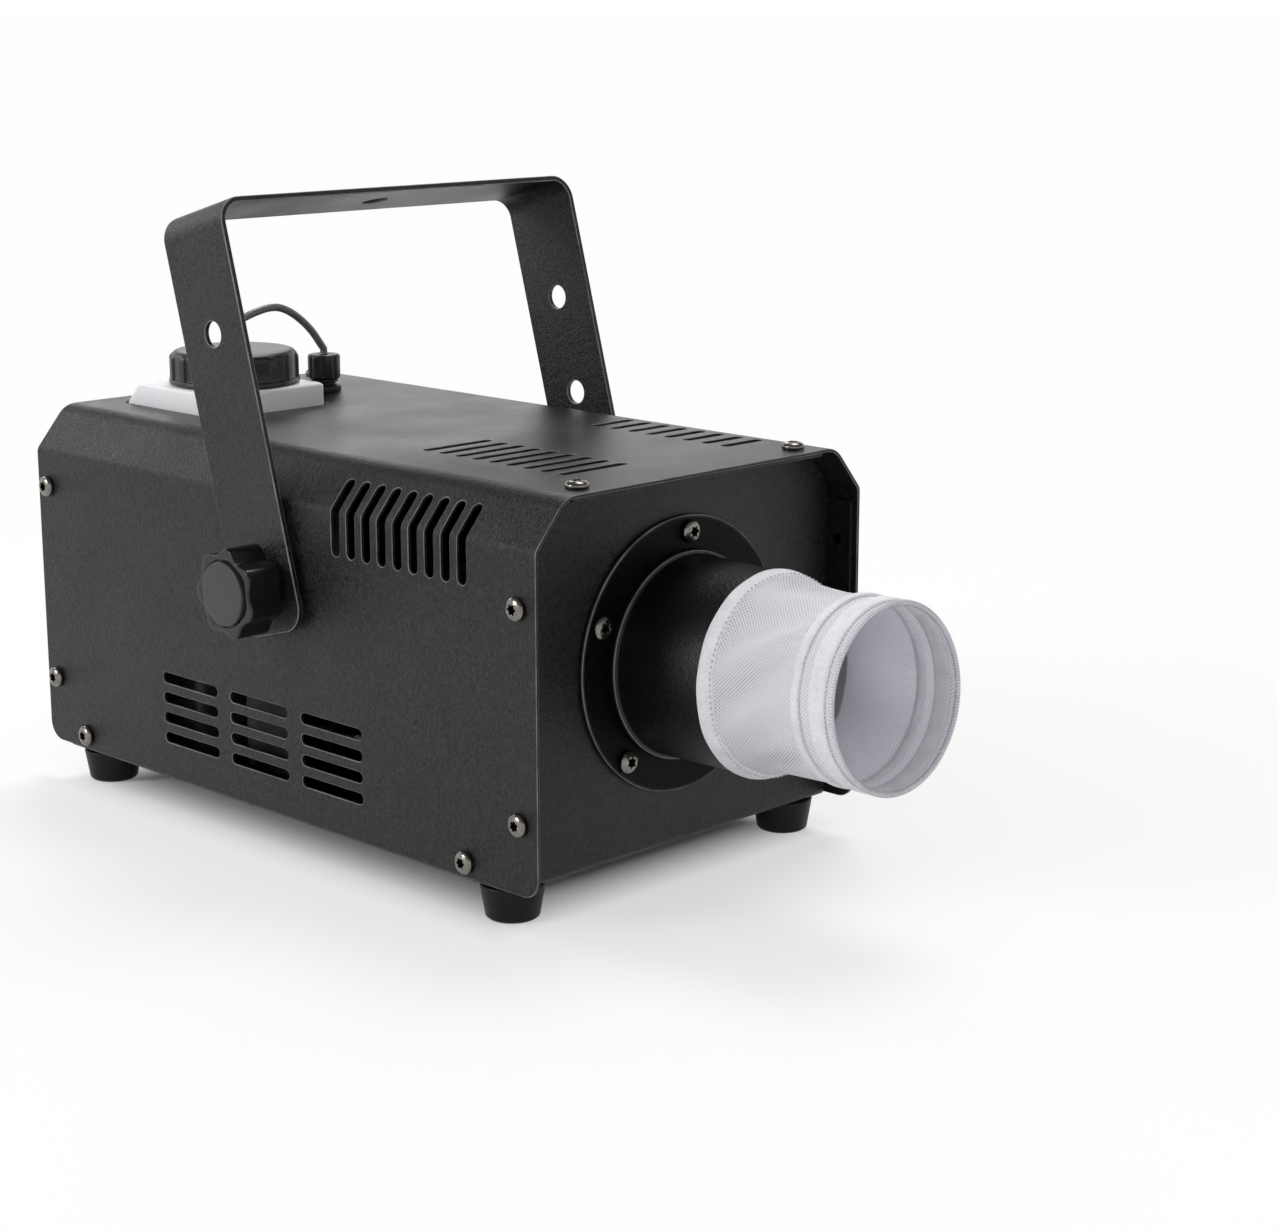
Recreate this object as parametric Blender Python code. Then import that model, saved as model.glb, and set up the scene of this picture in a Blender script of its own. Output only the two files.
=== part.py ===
# Snow machine: a folded sheet-metal case with a carrying yoke, a fluid tank
# under a screw cap, a pump, a centrifugal blower and a round nozzle that wears
# a mesh sock. Metres, +Z up, the nozzle looks along -Y and the tank is on the
# -X side. Every piece is modelled in the body frame, whose zero is the middle
# of the case at the height of the cover's lower edge; the empty body_frame
# carries that frame to the origin on the floor.

import math

import bmesh
import bpy
import numpy as np
from mathutils import Vector

MM = 0.001

# Clearances
GAP = 0.3 * MM              # between pieces that touch or are cut by each other
SLIDE_GAP = 0.4 * MM        # between the cover and the chassis inside it
HOLE_PLAY = 0.4 * MM        # between a shank and its hole
BORE_PLAY = 0.5 * MM        # between the tube and the holes it passes
CUT_PAST = 4 * MM           # how far a cutter runs past the face it cuts
TRIM_REACH = 1              # far past the case, for the trim that sizes the chassis

# Cover and chassis
SHEET = 1.2 * MM
COVER_WIDTH = 157 * MM
COVER_LENGTH = 277 * MM
COVER_HEIGHT = 130 * MM
CHAMFER_RUN = 13.4 * MM
CHAMFER_RISE = 15.8 * MM
LOWER_BEND = 4 * MM
UPPER_BEND = 10 * MM
COVER_CORNER = 7 * MM
TRAY_DROP = 1 * MM          # the tray hangs this far below the cover's edge
TRAY_BEND = 2.4 * MM
FRONT_RECESS = 13 * MM
REAR_RECESS = 10 * MM
FLANGE_SETBACK = 2 * MM     # from the cover's end to the folded flanges
FLANGE_FOOT = 14 * MM       # height where the side flanges start
FLANGE_TOP_SPACE = 5 * MM   # from the side flange's top to the cover's bend
LIP_HEIGHT = 12 * MM
LIP_RELIEF = 3 * MM
ROUND_STEPS = 4             # facets in a sheet-metal bend

# Vents
VENT_WIDTH = 4 * MM
VENT_END_STEPS = 3
LOW_VENT_LENGTH = 33 * MM
LOW_VENT_ROWS = 4
LOW_VENT_ROW_PITCH = 7.6 * MM
LOW_VENT_FIRST_ROW = 15.3 * MM
LOW_VENT_COLUMNS = 3
LOW_VENT_COLUMN_PITCH = 40.5 * MM
LOW_VENT_FROM_FRONT = 103.2 * MM    # first column's middle, from the cover's front
BEND_VENT_COUNT = 9
BEND_VENT_WIDTH = 4.4 * MM
BEND_VENT_PITCH = 7.95 * MM
BEND_VENT_FROM_FRONT = 34.4 * MM
BEND_VENT_BELOW = 15.7 * MM         # below the lower bend
BEND_VENT_ABOVE = 9.8 * MM          # above the lower bend
TOP_VENT_FROM_FRONT = 30 * MM
NEAR_VENT_COUNT = 9
NEAR_VENT_PITCH = 8.4 * MM
NEAR_VENT_LENGTH = 31 * MM
NEAR_VENT_OFFSET = -23.5 * MM       # middle of the group, across the top
FAR_VENT_COUNT = 8
FAR_VENT_PITCH = 9.1 * MM
FAR_VENT_LENGTH = 20 * MM
FAR_VENT_OFFSET = 49.5 * MM

# Screws, all M4 pan heads with a six-lobe recess
SCREW_RADIUS = 2 * MM
SCREW_LENGTH = 5.5 * MM
HEAD_RADIUS = 4 * MM
HEAD_HEIGHT = 2.4 * MM
HEAD_EDGE = 0.9 * MM
RECESS_RADIUS = 1.9 * MM
RECESS_WAIST = 1.35 * MM
RECESS_DEPTH = 1.3 * MM
SCREW_STEPS = 12
HOLE_STEPS = 8
FRONT_SCREW_INSET = 8.5 * MM
REAR_SCREW_INSET = 6.5 * MM
FRONT_SCREW_HEIGHTS = (24 * MM, 95 * MM)
REAR_SCREW_HEIGHTS = (25.5 * MM, 100.5 * MM)
BASE_SCREW_HEIGHT = 5.5 * MM
BASE_SCREW_FROM_FRONT = 34.5 * MM
BASE_SCREW_FROM_REAR = 25 * MM
TOP_SCREW_SPACING = 104 * MM

# Feet
FOOT_HEIGHT = 12.2 * MM
FOOT_TOP_RADIUS = 11 * MM
FOOT_BASE_RADIUS = 9 * MM
FOOT_ROUNDING = 1.4 * MM
FOOT_WALL_INSET = 11.5 * MM
FOOT_END_INSET = 24.5 * MM
FOOT_STUD_LENGTH = 4 * MM
FOOT_STEPS = 16

# Nozzle
NOZZLE_HEIGHT = 66 * MM
FLANGE_RADIUS = 47.5 * MM
FLANGE_THICKNESS = 1.5 * MM
FLANGE_SCREW_CIRCLE = 42 * MM
FLANGE_SCREW_COUNT = 5
FLANGE_SCREW_START = math.radians(86)
TUBE_RADIUS = 34.5 * MM
TUBE_MOUTH_RADIUS = 33.8 * MM
TUBE_WALL = 1.6 * MM
TUBE_REACH = 45.5 * MM      # from the front panel to the mouth
TUBE_TAIL = 8 * MM          # behind the front panel
COLLAR_RADIUS = 35.8 * MM
COLLAR_LENGTH = 2.6 * MM
NOZZLE_STEPS = 36

# Mesh sock
SOCK_OVERLAP = 13 * MM      # of the rear hem over the tube, at the tube's sides
SOCK_SLANT = 7 * MM         # the hem is this much further forward on top, back below
SOCK_HEM_WIDTH = 4.5 * MM
SOCK_RIM_WIDTH = 6 * MM
SOCK_STEP = 1 * MM          # over which a hem's step fades
SOCK_PLAY = 0.6 * MM
SOCK_FREE_LENGTH = 48 * MM
SOCK_WALL = 0.9 * MM
SOCK_WAIST_RADIUS = 31.4 * MM
SOCK_RIM_RADIUS = 31.8 * MM
SOCK_HEM = 0.7 * MM         # how far hems and the cord channel stand proud
SOCK_FOLDS = 6
SOCK_FOLD_DEPTH = 0.9 * MM
SOCK_FOLD_TWIST = 1.1
SOCK_STEPS = 30

# Spray nozzle on its arm in the tube
SPRAY_SETBACK = 3 * MM      # from the front panel forward to the arm's axis
SPRAY_ARM_RADIUS = 3 * MM
SPRAY_TIP_LENGTH = 9 * MM
SPRAY_TIP_RADIUS = 3.4 * MM
SPRAY_BARB_OFFSET = 27.5 * MM
SPRAY_BARB_LENGTH = 8 * MM

# Yoke
PIVOT_FROM_FRONT = 132.5 * MM
PIVOT_HEIGHT = 83.5 * MM
YOKE_TILT = math.radians(15.5)
YOKE_WIDTH = 35 * MM
YOKE_THICKNESS = 2 * MM
YOKE_WALL_GAP = 2.6 * MM
YOKE_REACH = 132.5 * MM     # from the pivot to the bar's outer face
YOKE_TAIL = 17 * MM         # below the pivot
YOKE_BEND = 9 * MM
YOKE_CORNER = 9 * MM
YOKE_UPPER_HOLE = 88.5 * MM
YOKE_LOWER_HOLE = 51 * MM
YOKE_HOLE_RADIUS = 4.5 * MM
BAR_HOLE_RADIUS = 5 * MM

# Pivot hardware
STUD_RADIUS = 4 * MM
STUD_REACH = 9 * MM         # inside the cover's wall
BUSH_RADIUS = 9 * MM
BUSH_BARREL_RADIUS = 6 * MM
BUSH_BARREL_LENGTH = 6 * MM
WASHER_RADIUS = 8.5 * MM
WASHER_THICKNESS = 1 * MM
KNOB_LOBES = 7
KNOB_RADIUS = 16 * MM
KNOB_VALLEY = 13.2 * MM
KNOB_THICKNESS = 13.6 * MM
KNOB_HUB_RADIUS = 10 * MM
KNOB_HUB_LENGTH = 1.4 * MM
KNOB_DISC_RADIUS = 11.3 * MM
KNOB_DISC_HEIGHT = 1 * MM
KNOB_ROUNDING = 1 * MM
KNOB_LOBE_STEPS = 5

# Fluid tank
TANK_WALL = 2 * MM
TANK_LEFT_SPACE = 14.5 * MM     # from the cover's left face
TANK_WIDTH = 76 * MM
TANK_LENGTH = 66 * MM
TANK_REAR_SPACE = 1.3 * MM      # from the rear panel
TANK_CORNER = 6 * MM
TANK_SHOULDER_DROP = 5 * MM     # below the cover's top face
DECK_WIDTH = 50.5 * MM
DECK_LENGTH = 59 * MM
DECK_FROM_LEFT = 33 * MM        # from the cover's left face
DECK_PROUD = 8.2 * MM           # above the cover's top face
DECK_CHAMFER = 7.5 * MM
DECK_CORNER = 2 * MM
WINDOW_PLAY = 1.4 * MM
NECK_RADIUS = 20 * MM
NECK_HEIGHT = 10 * MM
TANK_CORNER_STEPS = 4

# Cap
CAP_RADIUS = 23.8 * MM
CAP_SKIRT_RADIUS = 24.8 * MM
CAP_SKIRT_HEIGHT = 2 * MM
CAP_HEIGHT = 12.5 * MM
CAP_RIB_COUNT = 16
CAP_RIB_WIDTH = 3 * MM
CAP_RIB_DEPTH = 0.8 * MM
CAP_ROUNDING = 2.6 * MM
CAP_TOP = 2.4 * MM
CAP_FROM_LEFT = 60 * MM         # from the cover's left face
CAP_HOLE_RADIUS = 3 * MM

# Fittings and hoses
FITTING_STEPS = 16
FITTING_RADIUS = 3.5 * MM
FITTING_FLANGE_RADIUS = 5 * MM
FITTING_FLANGE_HEIGHT = 1.5 * MM
FITTING_HEIGHT = 6.2 * MM
FITTING_STEM_RADIUS = 2.6 * MM
HOSE_RADIUS = 1.5 * MM
HOSE_SIDES = 2              # bevel resolution
FEED_HOSE_RISE = 7.6 * MM
FEED_HOSE_ARCH = ((0.1, 0.58), (0.43, 1.0), (0.645, 0.62), (0.86, -0.37), (0.965, -1.2))
GLAND_FROM_TANK = 14 * MM   # to the right of the tank's body
GLAND_FLANGE_RADIUS = 6.6 * MM
GLAND_FLANGE_HEIGHT = 2.4 * MM
GLAND_THREAD_RADIUS = 4.8 * MM
GLAND_NECK_HEIGHT = 4.6 * MM
GLAND_TAIL = 12 * MM
NUT_RADIUS = 6.4 * MM
NUT_HEIGHT = 9.6 * MM
NUT_FLUTES = 8
DIP_RADIUS = 2 * MM
FILTER_RADIUS = 5 * MM
FILTER_HEIGHT = 12 * MM

# Pump
PUMP_WIDTH = 30 * MM
PUMP_LENGTH = 32 * MM
PUMP_HEIGHT = 36 * MM
PUMP_FROM_LEFT = 28.5 * MM
PUMP_TANK_SPACE = 30 * MM
PUMP_MOUNT_HEIGHT = 5 * MM
PUMP_PORT_RADIUS = 7 * MM
PUMP_PORT_LENGTH = 6 * MM
PUMP_BARB_LENGTH = 6 * MM

# Blower
BLOWER_WIDTH = 46 * MM
BLOWER_WALL = 1.6 * MM
SCROLL_START = 33 * MM
SCROLL_END = 47.5 * MM
DUCT_HEIGHT = 42 * MM
DUCT_IN_TUBE = 2.5 * MM
BLOWER_FROM_PANEL = 75.5 * MM
EYE_RADIUS = 22 * MM
WHEEL_RADIUS = 30 * MM
WHEEL_INNER_RADIUS = 22.5 * MM
WHEEL_WIDTH = 38 * MM
WHEEL_PLATE = 1.6 * MM
WHEEL_RING = 2 * MM
BLADE_COUNT = 16
WHEEL_STEPS = 28
BLADE_THICKNESS = 1.1 * MM
BLADE_SWEEP = math.radians(14)
HUB_RADIUS = 6 * MM
HUB_LENGTH = 12 * MM
SHAFT_RADIUS = 2 * MM
SHAFT_HOLE_RADIUS = 6.8 * MM
MOTOR_RADIUS = 17 * MM
MOTOR_LENGTH = 32 * MM
MOTOR_BOSS_RADIUS = 6 * MM

# Rear panel
REAR_PARTS_FROM_RIGHT = 33 * MM
INLET_WIDTH = 27 * MM
INLET_HEIGHT = 19.6 * MM
INLET_DEPTH = 17 * MM
INLET_BEZEL = 2.6 * MM
INLET_BEZEL_THICKNESS = 2 * MM
INLET_WALL = 1.4 * MM
INLET_FLOOR = 3 * MM
INLET_CENTRE_HEIGHT = 32 * MM
SOCKET_CORNER = 5 * MM
PIN_WIDTH = 2 * MM
PIN_HEIGHT = 4 * MM
PIN_SPACING = 7 * MM
PIN_STAGGER = 3.2 * MM
PIN_SETBACK = 3 * MM
SWITCH_WIDTH = 13 * MM
SWITCH_HEIGHT = 19 * MM
SWITCH_DEPTH = 13 * MM
SWITCH_BEZEL = 1.2 * MM
SWITCH_WALL = 1 * MM
SWITCH_OFFSET = -12 * MM
SWITCH_RISE = 34 * MM
ROCKER_DEPTH = 4 * MM
ROCKER_TILT = math.radians(8)
ROCKER_PLAY = 0.8 * MM
ROCKER_POCKET = 5.8 * MM
FUSE_OFFSET = 12 * MM
FUSE_RADIUS = 6 * MM
FUSE_FLANGE_RADIUS = 7.6 * MM
FUSE_DEPTH = 20 * MM
FUSE_BORE_RADIUS = 3.4 * MM
FUSE_CAP_RADIUS = 6.4 * MM
FUSE_CAP_HEIGHT = 4.5 * MM
FUSE_FLANGE_THICKNESS = 1.6 * MM
FUSE_SLOT_LENGTH = 8 * MM
FUSE_SLOT_WIDTH = 1.2 * MM
FUSE_SLOT_DEPTH = 1 * MM

# Control board
BOARD_WIDTH = 36 * MM
BOARD_LENGTH = 42 * MM
BOARD_THICKNESS = 1.6 * MM
BOARD_HEIGHT = 9 * MM
BOARD_RIGHT_SPACE = 7 * MM
BOARD_REAR_SPACE = 26 * MM
POST_RADIUS = 2.4 * MM
POST_INSET = 4 * MM
BOARD_MARGIN = 3 * MM           # from the board's edges to the parts on it
TRANSFORMER_SIZE = (18 * MM, 18 * MM, 16 * MM)
RELAY_SIZE = (10 * MM, 18 * MM, 12 * MM)
TERMINAL_SIZE = (16 * MM, 7 * MM, 9 * MM)
CAN_RADIUS = 4 * MM
CAN_HEIGHT = 13 * MM

# Levels and faces that several pieces share, in the body frame
HALF_WIDTH = COVER_WIDTH / 2
HALF_LENGTH = COVER_LENGTH / 2
CHASSIS_HALF = HALF_WIDTH - SHEET - SLIDE_GAP
PANEL_FRONT = -HALF_LENGTH + FRONT_RECESS
PANEL_REAR = HALF_LENGTH - REAR_RECESS
TRAY_BOTTOM = -TRAY_DROP
TRAY_TOP = TRAY_BOTTOM + SHEET
FLOOR = TRAY_BOTTOM - GAP - FOOT_HEIGHT
BEND_HEIGHT = COVER_HEIGHT - CHAMFER_RISE
PIVOT = Vector((0, -HALF_LENGTH + PIVOT_FROM_FRONT, PIVOT_HEIGHT))
FLANGE_BACK = PANEL_FRONT - GAP
COLLAR_BACK = FLANGE_BACK - FLANGE_THICKNESS - GAP
TUBE_MOUTH = PANEL_FRONT - TUBE_REACH
SOCK_BACK = TUBE_MOUTH + SOCK_OVERLAP
SOCK_FRONT = TUBE_MOUTH - SOCK_FREE_LENGTH
TANK_LEFT = -HALF_WIDTH + TANK_LEFT_SPACE
TANK_RIGHT = TANK_LEFT + TANK_WIDTH
TANK_REAR = PANEL_REAR - SHEET - TANK_REAR_SPACE
TANK_FRONT = TANK_REAR - TANK_LENGTH
TANK_BOTTOM = TRAY_TOP + GAP
TANK_SHOULDER = COVER_HEIGHT - TANK_SHOULDER_DROP
DECK_LEFT = -HALF_WIDTH + DECK_FROM_LEFT
DECK_RIGHT = DECK_LEFT + DECK_WIDTH
DECK_REAR = TANK_REAR - 0.2 * MM
DECK_FRONT = DECK_REAR - DECK_LENGTH
DECK_TOP = COVER_HEIGHT + DECK_PROUD
CAP_X = -HALF_WIDTH + CAP_FROM_LEFT
CAP_Y = (DECK_FRONT + DECK_REAR - DECK_CHAMFER) / 2
CAP_BOTTOM = DECK_TOP + GAP
CAP_LID = CAP_BOTTOM + CAP_HEIGHT
FITTING_TOP = CAP_LID + GAP + FITTING_HEIGHT
GLAND_X = TANK_RIGHT + GLAND_FROM_TANK
GLAND_Y = CAP_Y + 1 * MM
GLAND_BASE = COVER_HEIGHT + GAP
NUT_BOTTOM = GLAND_BASE + GLAND_NECK_HEIGHT + GAP
NUT_TOP = NUT_BOTTOM + NUT_HEIGHT
BLOWER_Y = PANEL_FRONT + BLOWER_FROM_PANEL
BLOWER_Z = TRAY_TOP + GAP + BLOWER_WALL + (SCROLL_START * 2 + SCROLL_END) / 3
DUCT_TOP = NOZZLE_HEIGHT + DUCT_HEIGHT / 2
DUCT_BOTTOM = NOZZLE_HEIGHT - DUCT_HEIGHT / 2
DUCT_END = PANEL_FRONT + TUBE_TAIL - DUCT_IN_TUBE
REAR_PARTS_X = HALF_WIDTH - REAR_PARTS_FROM_RIGHT
PUMP_X = -HALF_WIDTH + PUMP_FROM_LEFT
PUMP_REAR = TANK_FRONT - PUMP_TANK_SPACE
PUMP_FRONT = PUMP_REAR - PUMP_LENGTH
PUMP_BASE = TRAY_TOP + PUMP_MOUNT_HEIGHT + 2 * GAP
PUMP_AXIS_HEIGHT = PUMP_BASE + PUMP_HEIGHT / 2
BOARD_RIGHT = CHASSIS_HALF - SHEET - BOARD_RIGHT_SPACE
BOARD_REAR = PANEL_REAR - SHEET - BOARD_REAR_SPACE

# Finishes: base colour, roughness, metallic
FINISHES = {
    "black_powder_coat": ((0.035, 0.035, 0.037, 1), 0.55, 0.0),
    "gloss_black_paint": ((0.012, 0.012, 0.013, 1), 0.22, 0.0),
    "white_mesh": ((0.82, 0.82, 0.86, 1), 0.85, 0.0),
    "dark_nickel": ((0.32, 0.29, 0.26, 1), 0.28, 1.0),
    "black_rubber": ((0.02, 0.02, 0.02, 1), 0.75, 0.0),
    "black_plastic": ((0.022, 0.022, 0.023, 1), 0.32, 0.0),
    "milky_plastic": ((0.8, 0.81, 0.82, 1), 0.4, 0.0),
    "smoky_hose": ((0.2, 0.2, 0.2, 1), 0.3, 0.0),
    "zinc_steel": ((0.6, 0.6, 0.6, 1), 0.35, 1.0),
    "brass": ((0.7, 0.52, 0.25, 1), 0.3, 1.0),
    "green_board": ((0.03, 0.16, 0.07, 1), 0.5, 0.0),
    "pale_plastic": ((0.7, 0.7, 0.66, 1), 0.5, 0.0),
}


# Scene helpers

def clear_scene():
    for old in list(bpy.data.objects):
        bpy.data.objects.remove(old, do_unlink=True)


def finish(name):
    material = bpy.data.materials.get(name)
    if material:
        return material
    colour, roughness, metallic = FINISHES[name]
    material = bpy.data.materials.new(name)
    material.use_nodes = True
    shader = material.node_tree.nodes["Principled BSDF"]
    shader.inputs["Base Color"].default_value = colour
    shader.inputs["Roughness"].default_value = roughness
    shader.inputs["Metallic"].default_value = metallic
    return material


def add_frame():
    frame = bpy.data.objects.new("body_frame", None)
    bpy.context.scene.collection.objects.link(frame)
    frame.location = (0, -(SOCK_FRONT + HALF_LENGTH) / 2, -FLOOR)
    return frame


def place(name, data, parent, finish_name=None, at=(0, 0, 0), turn=(0, 0, 0)):
    piece = bpy.data.objects.new(name, data)
    bpy.context.scene.collection.objects.link(piece)
    piece.parent = parent
    piece.location = at
    piece.rotation_euler = turn
    if finish_name:
        if not data.materials:
            data.materials.append(finish(finish_name))
    else:
        piece.hide_render = True
        piece.display_type = "WIRE"
    return piece


def combine(piece, other, operation):
    step = piece.modifiers.new(operation.lower() + "_" + other.name, "BOOLEAN")
    step.operation = operation
    step.solver = "EXACT"
    step.object = other


def to_mesh(bm, name, smooth_angle=math.radians(35)):
    bmesh.ops.recalc_face_normals(bm, faces=bm.faces)
    mesh = bpy.data.meshes.new(name)
    bm.to_mesh(mesh)
    bm.free()
    mesh.shade_smooth()
    mesh.set_sharp_from_angle(angle=smooth_angle)
    return mesh


# Outline helpers; an outline is a list of (a, b) pairs

def arc(centre, radius, start, end, steps):
    angles = [start + (end - start) * i / steps for i in range(steps + 1)]
    return [(centre[0] + radius * math.cos(a), centre[1] + radius * math.sin(a)) for a in angles]


def circle(radius, steps, centre=(0, 0)):
    return arc(centre, radius, 0, 2 * math.pi, steps)[:-1]


def rounded_corner(before, corner, after, radius, steps):
    # The corner's two tangent points with an arc of the given radius between them
    corner = Vector(corner)
    to_before = (Vector(before) - corner).normalized()
    to_after = (Vector(after) - corner).normalized()
    half = to_before.angle(to_after) / 2
    centre = corner + (to_before + to_after).normalized() * (radius / math.sin(half))
    first = corner + to_before * (radius / math.tan(half)) - centre
    last = corner + to_after * (radius / math.tan(half)) - centre
    start = math.atan2(first.y, first.x)
    sweep = math.remainder(math.atan2(last.y, last.x) - start, 2 * math.pi)
    return arc(centre, radius, start, start + sweep, steps)


def rounded_path(points, radii, steps=ROUND_STEPS, closed=False):
    count = len(points)
    path = []
    for i, (point, radius) in enumerate(zip(points, radii)):
        end_point = not closed and i in (0, count - 1)
        if radius <= 0 or end_point:
            path.append(tuple(point))
        else:
            path += rounded_corner(points[i - 1], point, points[(i + 1) % count], radius, steps)
    return path


def offset_path(points, distance):
    # An open path moved to its right-hand side, with its corners kept sharp
    moved = []
    for i, point in enumerate(points):
        point = Vector(point)
        ahead = (Vector(points[min(i + 1, len(points) - 1)]) - point).normalized()
        behind = (point - Vector(points[max(i - 1, 0)])).normalized()
        ahead = ahead if ahead.length else behind
        behind = behind if behind.length else ahead
        normals = [Vector((side.y, -side.x)) for side in (behind, ahead)]
        middle = (normals[0] + normals[1]).normalized()
        moved.append(tuple(point + middle * (distance / middle.dot(normals[0]))))
    return moved


def bent_sheet(points, radii, thickness):
    # Closed section of a folded sheet: points run along its outer face
    inner_radii = [max(radius - thickness, 0) for radius in radii]
    inner = rounded_path(offset_path(points, thickness), inner_radii)
    return rounded_path(points, radii) + inner[::-1]


def rectangle(a0, a1, b0, b1):
    return [(a0, b0), (a1, b0), (a1, b1), (a0, b1)]


def rounded_rectangle(a0, a1, b0, b1, radius, steps):
    return rounded_path(rectangle(a0, a1, b0, b1), [radius] * 4, steps, closed=True)


def stadium(length, width, centre=(0, 0), upright=False, far_squash=1):
    # A slot with round ends; far_squash flattens its far end
    run = (length - width) / 2
    radius = width / 2
    right = arc((0, 0), radius, -math.pi / 2, math.pi / 2, VENT_END_STEPS)
    left = arc((0, 0), radius, math.pi / 2, 3 * math.pi / 2, VENT_END_STEPS)
    stretch = run + radius * (1 - far_squash)
    outline = [(a * far_squash + stretch, b) for a, b in right] + [(a - run, b) for a, b in left]
    if upright:
        outline = [(-b, a) for a, b in outline]
    return [(a + centre[0], b + centre[1]) for a, b in outline]


# Solid helpers; a prism stands on z, a turned piece spins about z

def add_prism(bm, outline, low, high):
    base = bm.faces.new([bm.verts.new((a, b, low)) for a, b in outline])
    rise = bmesh.ops.extrude_face_region(bm, geom=[base])
    lifted = [item for item in rise["geom"] if isinstance(item, bmesh.types.BMVert)]
    bmesh.ops.translate(bm, verts=lifted, vec=(0, 0, high - low))


def prisms(name, outlines, low, high):
    bm = bmesh.new()
    for outline in outlines:
        add_prism(bm, outline, low, high)
    return to_mesh(bm, name)


def box_mesh(name, boxes):
    # Each box is ((x0, x1), (y0, y1), (z0, z1))
    bm = bmesh.new()
    for (x0, x1), (y0, y1), (z0, z1) in boxes:
        add_prism(bm, rectangle(x0, x1, y0, y1), z0, z1)
    return to_mesh(bm, name)


def turned(name, profile, steps, ring=False):
    # profile holds (radius, height) pairs; a ring's profile closes on itself
    bm = bmesh.new()
    verts = [bm.verts.new((radius, 0, height)) for radius, height in profile]
    pairs = list(zip(verts, verts[1:])) + ([(verts[-1], verts[0])] if ring else [])
    edges = [bm.edges.new(pair) for pair in pairs]
    bmesh.ops.spin(bm, geom=verts + edges, axis=(0, 0, 1), cent=(0, 0, 0),
                   angle=2 * math.pi, steps=steps, use_merge=True)
    bmesh.ops.remove_doubles(bm, verts=bm.verts, dist=1e-6)
    return to_mesh(bm, name)


def lofted(name, rings, smooth_angle=math.radians(35)):
    # rings are equal lists of (x, y, z); the first and last are capped
    bm = bmesh.new()
    loops = [[bm.verts.new(point) for point in ring] for ring in rings]
    for lower, upper in zip(loops, loops[1:]):
        for i in range(len(lower)):
            j = (i + 1) % len(lower)
            bm.faces.new((lower[i], lower[j], upper[j], upper[i]))
    bm.faces.new(loops[0][::-1])
    bm.faces.new(loops[-1])
    bmesh.ops.remove_doubles(bm, verts=bm.verts, dist=1e-6)
    return to_mesh(bm, name, smooth_angle)


ALONG_X = (0, math.pi / 2, 0)       # turns a piece's z to +X
ALONG_MINUS_X = (0, -math.pi / 2, 0)
ALONG_MINUS_Y = (math.pi / 2, 0, 0)
ALONG_Y = (-math.pi / 2, 0, 0)


def across_x(outline):
    # (y, z) outlines as a prism turned with ALONG_X needs them
    return [(-z, y) for y, z in outline]


# Case

def cover_path(inset=0.0):
    points = [
        (-HALF_WIDTH, 0), (-HALF_WIDTH, BEND_HEIGHT), (-HALF_WIDTH + CHAMFER_RUN, COVER_HEIGHT),
        (HALF_WIDTH - CHAMFER_RUN, COVER_HEIGHT), (HALF_WIDTH, BEND_HEIGHT), (HALF_WIDTH, 0),
    ]
    return offset_path(points, inset) if inset else points


def side_screw_places():
    places = [(-HALF_LENGTH + FRONT_SCREW_INSET, height) for height in FRONT_SCREW_HEIGHTS]
    places += [(HALF_LENGTH - REAR_SCREW_INSET, height) for height in REAR_SCREW_HEIGHTS]
    places.append((-HALF_LENGTH + BASE_SCREW_FROM_FRONT, BASE_SCREW_HEIGHT))
    places.append((HALF_LENGTH - BASE_SCREW_FROM_REAR, BASE_SCREW_HEIGHT))
    return places


def top_screw_places():
    half = TOP_SCREW_SPACING / 2
    front = -HALF_LENGTH + FRONT_SCREW_INSET
    rear = HALF_LENGTH - REAR_SCREW_INSET
    return [(-half, front), (half, front), (half, rear)]


def low_vent_outlines():
    outlines = []
    for column in range(LOW_VENT_COLUMNS):
        middle = -HALF_LENGTH + LOW_VENT_FROM_FRONT + column * LOW_VENT_COLUMN_PITCH
        for row in range(LOW_VENT_ROWS):
            height = LOW_VENT_FIRST_ROW + row * LOW_VENT_ROW_PITCH
            outlines.append(stadium(LOW_VENT_LENGTH, VENT_WIDTH, (middle, height)))
    return outlines


def bend_vent_outlines():
    # Seen from the side; the upper end is flattened so that it is round on the chamfer
    length = BEND_VENT_BELOW + BEND_VENT_ABOVE
    middle = BEND_HEIGHT + (BEND_VENT_ABOVE - BEND_VENT_BELOW) / 2
    slope = CHAMFER_RISE / math.hypot(CHAMFER_RUN, CHAMFER_RISE)
    first = -HALF_LENGTH + BEND_VENT_FROM_FRONT
    return [stadium(length, BEND_VENT_WIDTH, (first + i * BEND_VENT_PITCH, middle), True, slope)
            for i in range(BEND_VENT_COUNT)]


def top_vent_outlines():
    groups = [
        (NEAR_VENT_COUNT, NEAR_VENT_PITCH, NEAR_VENT_LENGTH, NEAR_VENT_OFFSET),
        (FAR_VENT_COUNT, FAR_VENT_PITCH, FAR_VENT_LENGTH, FAR_VENT_OFFSET),
    ]
    first = -HALF_LENGTH + TOP_VENT_FROM_FRONT
    return [stadium(length, VENT_WIDTH, (offset, first + i * pitch))
            for count, pitch, length, offset in groups for i in range(count)]


def wall_corner_outlines():
    # The corner pieces that round the lower ends of the side walls
    outlines = []
    for end in (-1, 1):
        edge = end * HALF_LENGTH
        inner = edge - end * COVER_CORNER
        start = math.pi / 2 * (1 - end)
        curve = arc((inner, COVER_CORNER), COVER_CORNER, start, start - end * math.pi / 2, ROUND_STEPS)
        far = edge + end * CUT_PAST
        outlines.append(curve + [(inner, -CUT_PAST), (far, -CUT_PAST), (far, COVER_CORNER)])
    return outlines


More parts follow.
